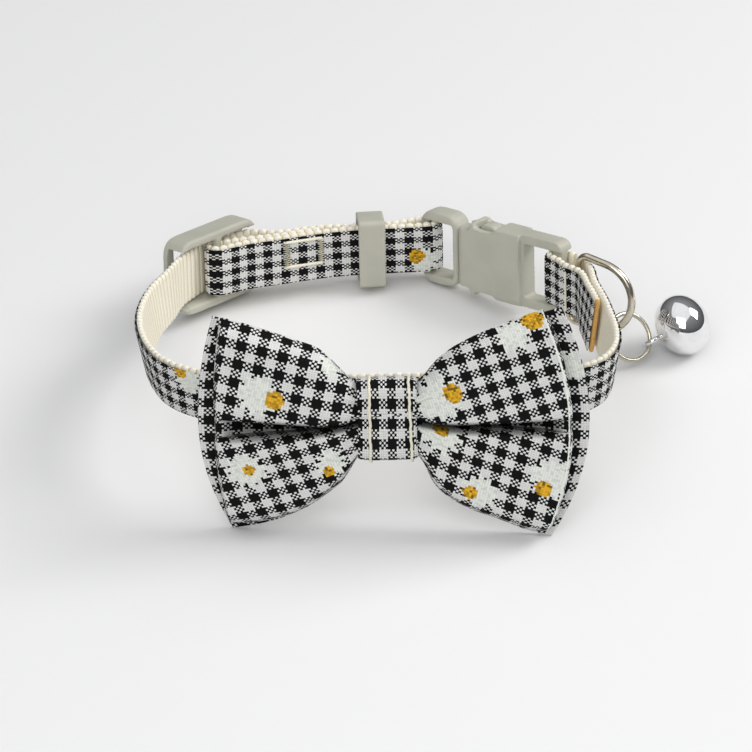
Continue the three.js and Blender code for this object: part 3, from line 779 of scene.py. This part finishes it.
class COLLAR_OT_ribbon(bpy.types.Operator):
    """Makes the gingham ribbon on the strap"""

    bl_idname = "collar.ribbon"
    bl_label = "Ribbon"

    def execute(self, context):
        settings = context.scene.collar_strap
        steps = strip_steps(ROUTE, STRAP_STEP * 2)
        fold = Vector(ROUTE[RIBBON_START]).xy
        start = min(range(len(steps) // 3), key=lambda i: (steps[i][0].xy - fold).length)
        inner = settings.thickness / MM / 2 + SEAM
        outer = inner + settings.ribbon_thickness / MM
        piece = strip("ribbon", steps[start:], settings.ribbon_width / MM, inner, outer)
        merge(piece)
        finish(piece, "ribbon", "gingham_strap", ("strap_ribbon",))
        length = (steps[-1][3] - steps[start][3]) * MM
        return {"FINISHED"}


# ---------------------------------------------------------------- the bow

# Sections of a wing from the knot (0) to its edge (1): the heights above and below its middle,
# how far the cloth stands forward, half the gap between the fold's lips, and the fold's depth.
LEFT_WING = (
    (0.00, 7.1, 7.3, 0.0, 0.05, 1.6),
    (0.05, 8.3, 9.0, 0.6, 0.10, 2.4),
    (0.12, 10.3, 11.5, 1.6, 0.20, 3.4),
    (0.25, 13.8, 14.0, 2.6, 0.45, 3.9),
    (0.42, 15.6, 16.9, 2.7, 0.85, 3.8),
    (0.60, 17.2, 18.8, 2.4, 1.20, 3.5),
    (0.80, 18.8, 20.1, 1.9, 1.50, 2.9),
    (1.00, 20.0, 20.8, 1.3, 1.80, 1.2),
)
RIGHT_WING = (
    (0.00, 7.1, 7.3, 0.0, 0.05, 1.6),
    (0.05, 8.4, 9.0, 0.6, 0.10, 2.4),
    (0.12, 10.8, 12.6, 1.6, 0.16, 3.4),
    (0.25, 13.7, 15.4, 2.6, 0.30, 3.9),
    (0.42, 16.0, 17.8, 2.7, 0.50, 3.8),
    (0.60, 17.8, 19.6, 2.4, 0.72, 3.6),
    (0.80, 19.6, 21.6, 1.9, 1.00, 3.0),
    (1.00, 21.2, 22.7, 1.3, 1.30, 1.2),
)
RIGHT_FORWARD = 2.5  # how much further forward the right wing's edge stands
KNOT = 5.6  # how far from the middle the wings start
BOW_MIDDLE = -2.0  # how much higher than the strap's middle the bow's fold is
BOW_BACK = 3.25  # from the webbing's middle to the back of the bow's cloth, at the knot
REAR = BOW_BACK + 1.35  # the same to the sleeve's back wall
FORE = 7.15  # the same to the sleeve's front wall
LIP = 1.1  # how round the lips of the sleeve's fold are
SECTIONS = 30  # columns of faces in each wing
FLAT_ROWS = 18  # rows of faces from a lip of the fold to the sleeve's edge
LIP_ROWS = 6  # rows of faces round a lip

# How each quarter of the sleeve lies on its cloth: how far its columns of checks tilt and its rows
# rise towards the wing's edge, in degrees, a pair of checks' width and height, and its place.
QUARTERS = {
    (-1, 1): (12.3, 15.3, 3.83, 3.59, 1.07, 61.19),
    (-1, -1): (24.3, 15.1, 3.55, 3.17, -1.69, -61.51),
    (1, 1): (18.6, 17.7, 3.68, 3.48, 0.51, 61.13),
    (1, -1): (13.9, 19.9, 3.85, 3.18, 1.06, -60.75),
}
FOLD_PLACE = 120.0  # how far up the cloth the floor of the fold lies
LEFT_CHECKS = 0.85  # how much further in the back layer's checks lie on the left

# How far each layer's side edges are from the middle, at the top, half-way and at the foot, and
# how its heights compare with the tables above and below the middle.
FRONT_LAYER = {-1: (29.3, 30.9, 28.6), 1: (28.4, 33.0, 28.4), "taller": 1.04, "deeper": 0.94}
BACK_LAYER = {-1: (31.2, 34.4, 28.7), 1: (31.8, 36.7, 29.6), "taller": 1.03, "deeper": 1.0}


def section(table, out):
    """The wing's measurements at a share of the way out, on a smooth line through the table."""
    rows = [Vector(row[1:]) for row in table]
    places = [row[0] for row in table]
    i = max(k for k in range(len(table) - 1) if places[k] <= out or k == 0)
    span = places[i + 1] - places[i]
    t = (out - places[i]) / span

    def slope(k):
        low, high = max(k - 1, 0), min(k + 1, len(table) - 1)
        return (rows[high] - rows[low]) / (places[high] - places[low])

    return eased(rows[i], rows[i + 1], slope(i) * span, slope(i + 1) * span, t)


def heights(layer, side, out):
    """A layer's heights above and below the middle, and the rest of the wing's measurements."""
    table = LEFT_WING if side < 0 else RIGHT_WING
    top, bottom, swell, lips, depth = section(table, out)
    top *= 1 + (layer["taller"] - 1) * out
    bottom *= 1 + (layer["deeper"] - 1) * out
    return top, bottom, swell, lips, depth


def reach_of(layer, side, share):
    """How far from the middle a side edge is, from the foot (-1) to the top (1)."""
    top, middle, foot = layer[side]
    corner = top if share > 0 else foot
    return middle - (middle - corner) * share * share


def front_place(side, u, up, half):
    """The flat place of a point of the sleeve, from how far out it is and how far up its cloth."""
    tilt, rise, wide, tall, along, over = QUARTERS[side, half]
    tilt, rise = math.radians(tilt), math.radians(rise)
    thread_wide, thread_tall = WEAVE["front"][:2]
    across = (u * math.cos(tilt) + up * math.sin(tilt)) * 2 * CHECK * thread_wide / wide
    above = (up * math.cos(rise) - u * math.sin(rise)) * 2 * CHECK * thread_tall / tall
    return side * across + along, half * above + over


def back_place(side, point):
    """A place on the back layer's flat cloth, whose checks follow its edges."""
    top, bottom = heights(BACK_LAYER, side, 1.0)[:2]
    height = point.z - BOW_MIDDLE
    edge = reach_of(BACK_LAYER, side, height / (top if height > 0 else bottom))
    across = side * (reach_of(BACK_LAYER, side, 0) - edge + abs(point.x))
    return across + (LEFT_CHECKS if side < 0 else 0.0), height


def wing_columns():
    """Shares of the way out, closer together at the knot and at the edge."""
    return [0.5 - 0.5 * math.cos(math.pi * (i / SECTIONS) ** 0.9) for i in range(SECTIONS + 1)]


def gathers(out, depth, reach, turn):
    """A ripple in the cloth that dies away outwards from the knot."""
    return depth * math.exp(-out / reach) * math.cos(turn)


def fore_rows(side, out, gap):
    """A section of the bow's front wall from its foot to its top. Each row has its height, how far
    it stands back from the wall's front, its half of the cloth and its height on the flat cloth.
    gap is how far back the rear wall is."""
    top, bottom, _, lips, depth = heights(FRONT_LAYER, side, out)
    rows = []
    for half, edge in ((-1, bottom), (1, top)):
        lip = min(LIP, 0.3 * edge)
        part = []
        start = lips + lip
        for i in range(FLAT_ROWS + 1):
            share = math.sin(math.pi / 2 * (1 - i / FLAT_ROWS))
            height = start + (edge - start) * share
            pressed = max(0.0, 1 - (edge - height) / min(4.0, 0.6 * edge))
            ripple = gathers(out, 0.50, 0.13, share * 14 + half)
            ripple += gathers(out, 0.20, 0.5, share * 8 - out * 4 + half * 2)
            part.append((height, gap * pressed**3 + ripple * smooth_step(2 - 2 * pressed)))
        back = part[-1][1]
        drop = min(lip, depth)
        for i in range(1, LIP_ROWS + 1):
            angle = math.pi / 2 * i / LIP_ROWS
            part.append((lips + lip * (1 - math.sin(angle)), back + drop * (1 - math.cos(angle))))
        part.append((lips * 1.05, back + (drop + depth) / 2))
        flat = [start]
        for near, far in zip(part[FLAT_ROWS:0:-1], part[FLAT_ROWS - 1 :: -1]):
            flat.insert(0, flat[0] + math.dist(near, far))
        for near, far in zip(part[FLAT_ROWS:], part[FLAT_ROWS + 1 :]):
            flat.append(flat[-1] - math.dist(near, far))
        part = [(half * height, stand, half, up) for (height, stand), up in zip(part, flat)]
        part.append((half * lips, back + depth, 0, half * lips))
        part.append((half * 0.5 * lips, back + depth * 1.02, 0, half * 0.5 * lips))
        if half < 0:
            rows = part
            rows.append((0.0, back + depth * 1.05, 0, 0.0))
        else:
            rows += part[::-1]
    return rows


def wall_point(layer, side, out, height, stand):
    """A point of the bow in the loop's frame. stand is how far in front of the webbing it is."""
    top, bottom = heights(layer, side, out)[:2]
    reach = reach_of(layer, side, height / (top if height > 0 else bottom))
    u = side * (KNOT + (reach - KNOT) * out)
    forward = RIGHT_FORWARD * out * out if side > 0 else 0.0
    return Vector((u, -stand - forward, BOW_MIDDLE + height))


def grid_mesh(name, lines, closed, flat_place):
    """A cloth from lines of points in the loop's frame, each line joined to the next. flat_place
    gives a corner's place on the flat cloth from its face (i, k) and its point (line, number)."""
    count = len(lines[0])
    faces = []
    uvs = []
    for i in range(len(lines) if closed else len(lines) - 1):
        j = (i + 1) % len(lines)
        for k in range(count - 1):
            corners = ((i, k), (j, k), (j, k + 1), (i, k + 1))
            faces.append(tuple(line * count + number for line, number in corners))
            uvs.append(tuple(flat_place(i, k, *corner) for corner in corners))
    return cloth_mesh(name, [LOOP @ point for line in lines for point in line], faces, uvs)


def bow_mesh(name, columns, closed):
    """A layer of the bow from columns of points. Each point has its places on the flat cloth, for
    the faces above the bow's middle (1) and below it (-1), and may have its value for the painted
    shade in the fold and the frayed white at the right edge."""
    middle = len(columns[0]) // 2

    def flat_place(i, k, line, number):
        return columns[line][number][1][1 if k >= middle else -1]

    points = [[point for point, _ in column] for column in columns]
    piece = grid_mesh(name, points, closed, flat_place)
    fold_shades_and_frays = [flat.get("fold_shade_and_fray", 0.0) for column in columns for _, flat in column]
    piece.data.attributes.new("fold_shade_and_fray", "FLOAT", "POINT").data.foreach_set("value", fold_shades_and_frays)
    return piece


def rear_stand(side, out, share):
    """How far in front of the webbing the sleeve's back wall stands. share is how high it is."""
    ripple = gathers(out, 0.25, 0.14, share * 13)
    return REAR + heights(FRONT_LAYER, side, out)[2] * 0.45 - ripple


def fore_column(side, out):
    """A column of the sleeve's front wall."""
    swell, lips = heights(FRONT_LAYER, side, out)[2:4]
    column = []
    gap = FORE + swell - rear_stand(side, out, 1)
    for height, back, half, up in fore_rows(side, out, gap):
        point = wall_point(FRONT_LAYER, side, out, height, FORE + swell - back)
        if half:
            flat = {k: front_place(side, abs(point.x), up, k) for k in (1, -1)}
        else:
            flat = dict.fromkeys((1, -1), (point.x, FOLD_PLACE + up))
        # Painted shade: the cloth inside the fold is darkened, less towards the wing's edge; a
        # negative value marks the frayed white at the right edge.
        inside = smooth_step(1.25 - (abs(height) - lips) / 0.9)
        flat["fold_shade_and_fray"] = inside * (0.92 - 0.42 * out) * smooth_step((1.0 - out) / 0.08)
        if side > 0:
            flat["fold_shade_and_fray"] -= smooth_step((out - 0.985) / 0.015)
        column.append((point, flat))
    return column


def rear_column(side, out):
    """A column of the sleeve's back wall, with its rows at the front wall's heights."""
    column = []
    top, bottom = heights(FRONT_LAYER, side, out)[:2]
    for point, flat in fore_column(side, out):
        height = point.z - BOW_MIDDLE
        stand = rear_stand(side, out, height / (top if height > 0 else bottom))
        column.append((wall_point(FRONT_LAYER, side, out, height, stand), flat))
    return column


def side_fold(side):
    """The columns that close the sleeve at a side edge, from its front wall to its back wall."""
    walls = list(zip(fore_column(side, 1.0), rear_column(side, 1.0)))
    columns = []
    for t in (0.2, 0.4, 0.6, 0.8):
        column = []
        for (front, flat), (back, _) in walls:
            thick = back.y - front.y
            bulge = 0.2 * thick * math.sin(math.pi * t)
            place = front.lerp(back, t) + Vector((side * bulge, 0, 0))
            moved = {k: (flat[k][0] + side * (t * thick + bulge), flat[k][1]) for k in (1, -1)}
            column.append((place, moved))
        columns.append(column)
    return columns


def tail_column(side, out):
    """A column of the bow's back layer."""
    top, bottom, swell = heights(BACK_LAYER, side, out)[:3]
    column = []
    for i in range(41):
        share = math.sin(math.pi / 2 * (i / 20 - 1))
        height = share * (top if share > 0 else bottom)
        point = wall_point(BACK_LAYER, side, out, height, BOW_BACK + 0.45 + swell * 0.3)
        column.append((point, dict.fromkeys((1, -1), back_place(side, point))))
    return column


class COLLAR_OT_bow(bpy.types.Operator):
    """Makes the bow's front sleeve and its back layer"""

    bl_idname = "collar.bow"
    bl_label = "Bow"

    def execute(self, context):
        thickness = context.scene.collar_cloth.thickness
        shares = wing_columns()
        columns = [fore_column(-1, out) for out in reversed(shares)]
        columns += [fore_column(1, out) for out in shares]
        columns += side_fold(1)
        columns += [rear_column(1, out) for out in reversed(shares)]
        columns += [rear_column(-1, out) for out in shares]
        columns += reversed(side_fold(-1))
        front = bow_mesh("bow_sleeve", columns, closed=True)
        merge(front, 0.02 * MM)
        apply(front, "SOLIDIFY", thickness=thickness, offset=-1, use_rim=True)
        finish(front, "bow_sleeve", "gingham_front", ("bow_front",), 70)

        columns = [tail_column(-1, out) for out in reversed(shares)]
        columns += [tail_column(1, out) for out in shares]
        back = bow_mesh("bow_tails", columns, closed=False)
        merge(back)
        apply(back, "SOLIDIFY", thickness=0.8 * MM, offset=0, use_rim=True)
        soften(back, 0.3 * MM)
        finish(back, "bow_tails", "gingham_back", ("bow_back",), 70)
        return {"FINISHED"}


# The band round the bow's middle: its height above the strap's middle, its sizes, how far in front
# of the webbing its two walls are, and how round its corners are.
WRAP = {"middle": -1.6, "width": 11.2, "height": 16.4, "front": 8.0, "back": 2.0, "round": 2.4}


def wrap_outline(inset):
    """The band's path round the bow's middle, as (v, w) places with their distance round it."""
    front, back = -WRAP["front"] + inset, -WRAP["back"] - inset
    half = WRAP["height"] / 2 - inset
    bend = WRAP["round"] - inset * 0.7
    corners = (
        (back - bend, -half + bend, -90, 0),
        (back - bend, half - bend, 0, 90),
        (front + bend, half - bend, 90, 180),
        (front + bend, -half + bend, 180, 270),
    )
    points = []
    for v, w, start, end in corners:
        for i in range(9):
            angle = math.radians(start + (end - start) * i / 8)
            points.append(Vector((0, v + bend * math.cos(angle), w + bend * math.sin(angle))))
    full = []
    for a, b in zip(points, points[1:] + points[:1]):
        steps = max(1, round((b - a).length / 0.6))
        full += [a.lerp(b, i / steps) for i in range(steps)]
    return full


class COLLAR_OT_wrap(bpy.types.Operator):
    """Makes the band round the bow's middle"""

    bl_idname = "collar.wrap"
    bl_label = "Wrap"

    def execute(self, context):
        width = WRAP["width"]
        outline = wrap_outline(0.32)
        reached = distances(outline + outline[:1])
        columns = 18
        between = Vector((0, (WRAP["front"] + WRAP["back"]) / 2, 0))
        lines = []
        for place in outline:
            level = 1 - min(1.0, abs(place.z) / (WRAP["height"] / 2))
            waist = 1 - 0.035 * smooth_step(2 * level)
            out = (place + between).normalized()
            line = []
            for j in range(columns + 1):
                share = 2 * j / columns - 1
                swell = 0.28 * (1 - share**4) - 0.25 * abs(share) ** 12
                spot = place + out * (swell - 0.3)
                line.append(spot + Vector((share * width / 2 * waist, 0, WRAP["middle"])))
            lines.append(line)

        def flat_place(i, k, line, number):
            return (2 * number / columns - 1) * width / 2, -reached[i if line == i else i + 1]

        band = grid_mesh("bow_band", lines, True, flat_place)
        merge(band)
        apply(band, "SOLIDIFY", thickness=0.6 * MM, offset=-1, use_rim=True)
        soften(band, 0.22 * MM)
        finish(band, "bow_band", "gingham_wrap", ("bow_wrap",), 60)
        return {"FINISHED"}


# ---------------------------------------------------------------- sewing


def wire(places, radius, resolution, closed=False):
    """A round wire or thread through places, as one mesh."""
    run = add(bpy.ops.curve.primitive_bezier_curve_add)
    run.data.splines.clear()
    spline = run.data.splines.new("POLY")
    spline.points.add(len(places) - 1)
    for point, place in zip(spline.points, places):
        point.co = (*place, 1)
    spline.use_cyclic_u = closed
    run.data.dimensions = "3D"
    run.data.bevel_depth = radius
    run.data.bevel_resolution = resolution
    run.data.use_fill_caps = not closed
    only(run)
    bpy.ops.object.convert(target="MESH")
    return bpy.context.object


def thread_run(places, radius):
    """A thread through places in the loop's frame."""
    return wire([LOOP @ Vector(place) for place in places], radius * MM, 2)


def join(pieces):
    """Makes one piece of several."""
    only(pieces[0])
    for piece in pieces:
        piece.select_set(True)
    bpy.ops.object.join()
    return bpy.context.object


# The sewing, in millimetres.
WRAP_LINES = ((-3.15, 0.0), (4.2, 0.2))  # where each line crosses the wrap, and how far it leans
BOX_BARS = (39.6, 46.7)  # how far along the strap the box's ends are
BOX_LINES = (-1.2, 3.9)  # how high its long sides are
TAIL_LINE = 338.4  # how far along the strap the tail is sewn down
RIBBON_FACE = 1.12  # from the webbing's middle to a thread on the ribbon


def on_ribbon(steps, distance, up):
    """A place on the ribbon's face, from how far along the strap it is and how far up."""
    place, normal, flare, _ = min(steps, key=lambda step: abs(step[3] - distance))
    return place + normal * (RIBBON_FACE + flare * up / 5) + Vector((0, 0, up))


class COLLAR_OT_stitches(bpy.types.Operator):
    """Sews the wrap's two lines, the strap's box and the line across its tail"""

    bl_idname = "collar.stitches"
    bl_label = "Stitches"

    def execute(self, context):
        runs = []
        path = [place for place in wrap_outline(0.15) if place.y < -4.4]  # its front half
        for u, lean in WRAP_LINES:
            line = []
            for i, place in enumerate(path):
                wave = 0.07 * math.sin(i * 1.9) + 0.05 * math.sin(i * 0.7)
                share = place.z / (WRAP["height"] / 2)
                line.append((u - lean * share + wave, place.y, place.z + WRAP["middle"]))
            runs.append(thread_run(line, 0.27))
        steps = strip_steps(ROUTE, STRAP_STEP)
        for along in BOX_BARS:  # each is a zigzag
            bar = []
            for i in range(25):
                bar.append(on_ribbon(steps, along + 1.1 * (i % 2), -1.3 + 5.3 * i / 24))
            runs.append(thread_run(bar, 0.23))
        for up in BOX_LINES:
            line = [on_ribbon(steps, 40.0 + 0.5 * i, up) for i in range(16)]
            runs.append(thread_run(line, 0.30))
        line = [on_ribbon(steps, TAIL_LINE, -4.0 + 0.5 * i) for i in range(17)]
        runs.append(thread_run(line, 0.20))
        finish(join(runs), "cream_stitches", "cream_thread")
        return {"FINISHED"}


# ---------------------------------------------------------------- plastic pieces


def moulded(node, name, voxel=None, rounding=None):
    """A finer copy of a piece of the frame, with the soft edges of a moulding."""
    settings = bpy.context.scene.collar_plastic
    piece = nodes[node].copy()
    piece.data = nodes[node].data.copy()
    piece.parent = None
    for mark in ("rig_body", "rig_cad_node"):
        del piece[mark]
    bpy.context.collection.objects.link(piece)
    merge(piece, 1e-6)
    apply(piece, "REMESH", mode="VOXEL", voxel_size=voxel or settings.grain)
    apply(piece, "SMOOTH", factor=0.5, iterations=rounding or settings.rounding)
    finish(piece, name, "sage_plastic", (node,))


class COLLAR_OT_keeper(bpy.types.Operator):
    """Makes the band that holds the doubled strap together"""

    bl_idname = "collar.keeper"
    bl_label = "Keeper"

    def execute(self, context):
        moulded("keeper", "keeper_band", 0.12 * MM, 7)
        return {"FINISHED"}


class COLLAR_OT_slider(bpy.types.Operator):
    """Makes the slider that sets the collar's length"""

    bl_idname = "collar.slider"
    bl_label = "Slider"

    def execute(self, context):
        moulded("slider", "slider_frame", 0.13 * MM, 9)
        return {"FINISHED"}


class COLLAR_OT_buckle(bpy.types.Operator):
    """Makes the two halves of the buckle"""

    bl_idname = "collar.buckle"
    bl_label = "Buckle"

    def execute(self, context):
        moulded("buckle_male", "buckle_prongs")
        moulded("buckle_female", "buckle_socket")
        return {"FINISHED"}


# ---------------------------------------------------------------- metal pieces

# Where the D-ring's straight side is, how it hangs, in degrees, and its size
# to the middle of its wire.
D_RING = {"u": 36.14, "v": 55.76, "swing": -29, "sag": 12.8, "height": 13.8, "reach": 12.3}


def d_ring_line():
    """The D-ring's wire in its own plane: x outwards from its straight side and y up."""
    h = D_RING["height"] / 2
    bend = 1.5
    run = D_RING["reach"] - h
    line = [(run + h * math.cos(a), h * math.sin(a), 0) for a in spread(90, -90, 40)]
    for a in spread(0, 90, 8):
        line.append((bend - bend * math.sin(a), -h + bend - bend * math.cos(a), 0))
    line += [(0, y, 0) for y in (-h / 3, h / 3)]
    for a in spread(0, 90, 8):
        line.append((bend - bend * math.cos(a), h - bend + bend * math.sin(a), 0))
    return line


def spread(start, end, count):
    """Even angles from start to end, given in degrees."""
    return [math.radians(start + (end - start) * i / count) for i in range(count + 1)]


class COLLAR_OT_d_ring(bpy.types.Operator):
    """Makes the D-ring in the strap's fold"""

    bl_idname = "collar.d_ring"
    bl_label = "D-ring"

    def execute(self, context):
        ring = wire(d_ring_line(), context.scene.collar_metal.ring_wire / MM / 2, 6, closed=True)
        turn = math.radians(D_RING["swing"])
        c, s = math.cos(turn), math.sin(turn)
        u, v = D_RING["u"], D_RING["v"]
        stand = Matrix(((c, 0, s, u), (s, 0, -c, v), (0, 1, 0, 0), (0, 0, 0, 1)))
        sag = Matrix.Rotation(-math.radians(D_RING["sag"]), 4, "Z")
        ring.data.transform(LOOP @ stand @ sag)
        merge(ring)
        finish(ring, "d_wire", "nickel_wire", ("d_ring",))
        return {"FINISHED"}


# These two hang beside the strap, so their places are upright, not leaning with the loop. The
# jump ring's radius is to its wire's outside.
JUMP_RING = {"middle": (46.6, 49.35, -17.53), "normal": (-0.5, 0.59, -0.64), "radius": 5.05}
BELL = {
    "middle": (56.83, 52.09, -16.5),
    "axis": (0.88, 0.25, 0.4),  # where its slit points
    "spin": -20,
    "height": 5.2,  # from its middle to its slit, a little less than its radius
    "wall": 0.45,
    "slit": 0.8,
    "hole": 0.9,
    "pellet": 1.9,
    "ear": 1.75,
    "ear_wire": 0.45,
    "ear_sunk": 0.36,
}


def pointing(middle, axis):
    """Puts a shape's +z along an axis at a place beside the collar."""
    turn = Vector((0, 0, 1)).rotation_difference(Vector(axis)).to_matrix().to_4x4()
    return UPRIGHT @ Matrix.Translation(Vector(middle)) @ turn


class COLLAR_OT_jump_ring(bpy.types.Operator):
    """Makes the ring between the D-ring and the bell"""

    bl_idname = "collar.jump_ring"
    bl_label = "Jump ring"

    def execute(self, context):
        thin = context.scene.collar_metal.jump_wire / MM / 2
        ring = add(
            bpy.ops.mesh.primitive_torus_add,
            major_radius=JUMP_RING["radius"] - thin,
            minor_radius=thin,
            major_segments=72,
            minor_segments=16,
        )
        ring.data.transform(pointing(JUMP_RING["middle"], JUMP_RING["normal"]))
        finish(ring, "jump_wire", "nickel_wire", ("jump_ring",))
        return {"FINISHED"}


class COLLAR_OT_bell(bpy.types.Operator):
    """Makes the bell, with its slit, end holes, ear and pellet"""

    bl_idname = "collar.bell"
    bl_label = "Bell"

    def execute(self, context):
        radius = context.scene.collar_metal.bell_radius / MM
        height = BELL["height"]
        shell = add(bpy.ops.mesh.primitive_uv_sphere_add, segments=96, ring_count=64, radius=1)
        shell.data.transform(Matrix.Diagonal((radius, radius, height, 1)))
        apply(shell, "SOLIDIFY", thickness=BELL["wall"], offset=-1)
        slit = add(bpy.ops.mesh.primitive_cube_add, size=1, location=(0, 0, 1.15 * height))
        slit.scale = (radius * 1.6, BELL["slit"], 1.7 * height)
        cutters = [slit]
        for side in (-1, 1):
            hole = add(
                bpy.ops.mesh.primitive_cylinder_add,
                vertices=40,
                radius=BELL["hole"],
                depth=2 * height,
                location=(side * radius * 0.8, 0, 1.3 * height),
            )
            cutters.append(hole)
        for cutter in cutters:
            settle(cutter)
            apply(shell, "BOOLEAN", operation="DIFFERENCE", solver="EXACT", object=cutter)
            bpy.data.objects.remove(cutter)
        ear = add(
            bpy.ops.mesh.primitive_torus_add,
            major_radius=BELL["ear"],
            minor_radius=BELL["ear_wire"],
            major_segments=48,
            minor_segments=16,
            location=(0, 0, BELL["ear_sunk"] - height - BELL["ear"]),
            rotation=(0, math.pi / 2, 0),
        )
        settle(ear)
        shell = join([shell, ear])
        spin = Matrix.Rotation(math.radians(BELL["spin"]), 4, "Z")
        place = pointing(BELL["middle"], BELL["axis"]) @ spin
        shell.data.transform(place)
        finish(shell, "bell_shell", "bell_chrome", ("bell",), 35)
        pellet = add(bpy.ops.mesh.primitive_ico_sphere_add, subdivisions=4, radius=BELL["pellet"])
        pellet.data.transform(place)
        finish(pellet, "pellet", "nickel_wire", ("bell_pellet",))
        return {"FINISHED"}


# ---------------------------------------------------------------- the stage


CAMERA = {"place": (-0.009045, -0.87472, 0.56487), "tilt": 57.4, "lens": 262.35}


class COLLAR_OT_camera(bpy.types.Operator):
    """Places the camera in front of the collar and above it"""

    bl_idname = "collar.camera"
    bl_label = "Camera"

    def execute(self, context):
        camera = add(bpy.ops.object.camera_add, location=CAMERA["place"])
        camera.rotation_euler = (math.radians(CAMERA["tilt"]), 0, 0)
        camera.data.lens = CAMERA["lens"]
        camera.data.sensor_width = 36
        camera.data.clip_start = 0.05
        camera.data.clip_end = 10
        context.scene.camera = camera
        return {"FINISHED"}


HORIZON = 0.22  # how bright the sky is at the horizon, as a share of its top


class COLLAR_OT_stage(bpy.types.Operator):
    """Lays the white table and sets the soft studio light"""

    bl_idname = "collar.stage"
    bl_label = "Table and light"

    def execute(self, context):
        stage = context.scene.collar_stage
        table = add(bpy.ops.mesh.primitive_plane_add, size=8, location=(0, 0, -0.05 * MM))
        table.name = "table"
        table.data.materials.append(material("white_table"))
        world = bpy.data.worlds.new("studio")
        world.use_nodes = True
        links, made = world.node_tree.links, world.node_tree.nodes
        around = made.new("ShaderNodeTexCoord")
        parts = made.new("ShaderNodeSeparateXYZ")
        sky = made.new("ShaderNodeMapRange")
        for socket, value in ((1, 0.0), (2, 1.0), (3, HORIZON * stage.sky), (4, stage.sky)):
            sky.inputs[socket].default_value = value
        links.new(around.outputs["Generated"], parts.inputs[0])
        links.new(parts.outputs["Z"], sky.inputs[0])
        made["Background"].inputs["Color"].default_value = (0.97, 0.98, 1.0, 1)
        links.new(sky.outputs[0], made["Background"].inputs["Strength"])
        context.scene.world = world
        lights = (
            ("key", (0.66, 0.16, 0.56), 0.42, stage.key, (1.0, 0.99, 0.97)),
            ("overhead", (-0.05, -0.10, 1.40), 2.1, stage.overhead, (1.0, 1.0, 1.0)),
            ("fill", (-0.12, -0.72, 0.58), 0.7, stage.fill, (1.0, 1.0, 1.0)),
        )
        for name, place, size, power, colour in lights:
            light = add(bpy.ops.object.light_add, type="AREA", location=place)
            light.name = name
            light.data.shape = "SQUARE"
            light.data.size = size
            light.data.energy = power
            light.data.color = colour
            light.rotation_euler = (-Vector(place)).to_track_quat("-Z", "Y").to_euler()
        context.scene.view_settings.view_transform = "Standard"
        context.scene.view_settings.look = "None"
        context.scene.view_settings.exposure = 0.0
        return {"FINISHED"}


OPERATORS = (
    COLLAR_OT_camera,
    COLLAR_OT_webbing,
    COLLAR_OT_ribbon,
    COLLAR_OT_bow,
    COLLAR_OT_wrap,
    COLLAR_OT_stitches,
    COLLAR_OT_keeper,
    COLLAR_OT_slider,
    COLLAR_OT_buckle,
    COLLAR_OT_d_ring,
    COLLAR_OT_jump_ring,
    COLLAR_OT_bell,
    COLLAR_OT_stage,
)


class COLLAR_PT_panel(bpy.types.Panel):
    """Lists the collar's pieces and settings"""

    bl_label = "Cat Collar"
    bl_idname = "COLLAR_PT_panel"
    bl_space_type = "VIEW_3D"
    bl_region_type = "UI"
    bl_category = "Cat Collar"

    def draw(self, context):
        layout = self.layout
        for operator in OPERATORS:
            layout.operator(operator.bl_idname)
        for name, kind in SETTINGS.items():
            box = layout.box()
            for field in kind.__annotations__:
                box.prop(getattr(context.scene, name), field)


def register():
    for kind in (*SETTINGS.values(), *OPERATORS, COLLAR_PT_panel):
        bpy.utils.register_class(kind)
    for name, kind in SETTINGS.items():
        setattr(bpy.types.Scene, name, PointerProperty(type=kind))


def unregister():
    for name in SETTINGS:
        delattr(bpy.types.Scene, name)
    for kind in (COLLAR_PT_panel, *reversed(OPERATORS), *SETTINGS.values()):
        bpy.utils.unregister_class(kind)


def main():
    register()
    for operator in OPERATORS:
        name = operator.bl_idname.split(".")[1]
        getattr(bpy.ops.collar, name)()


if __name__ == "__main__":
    main()
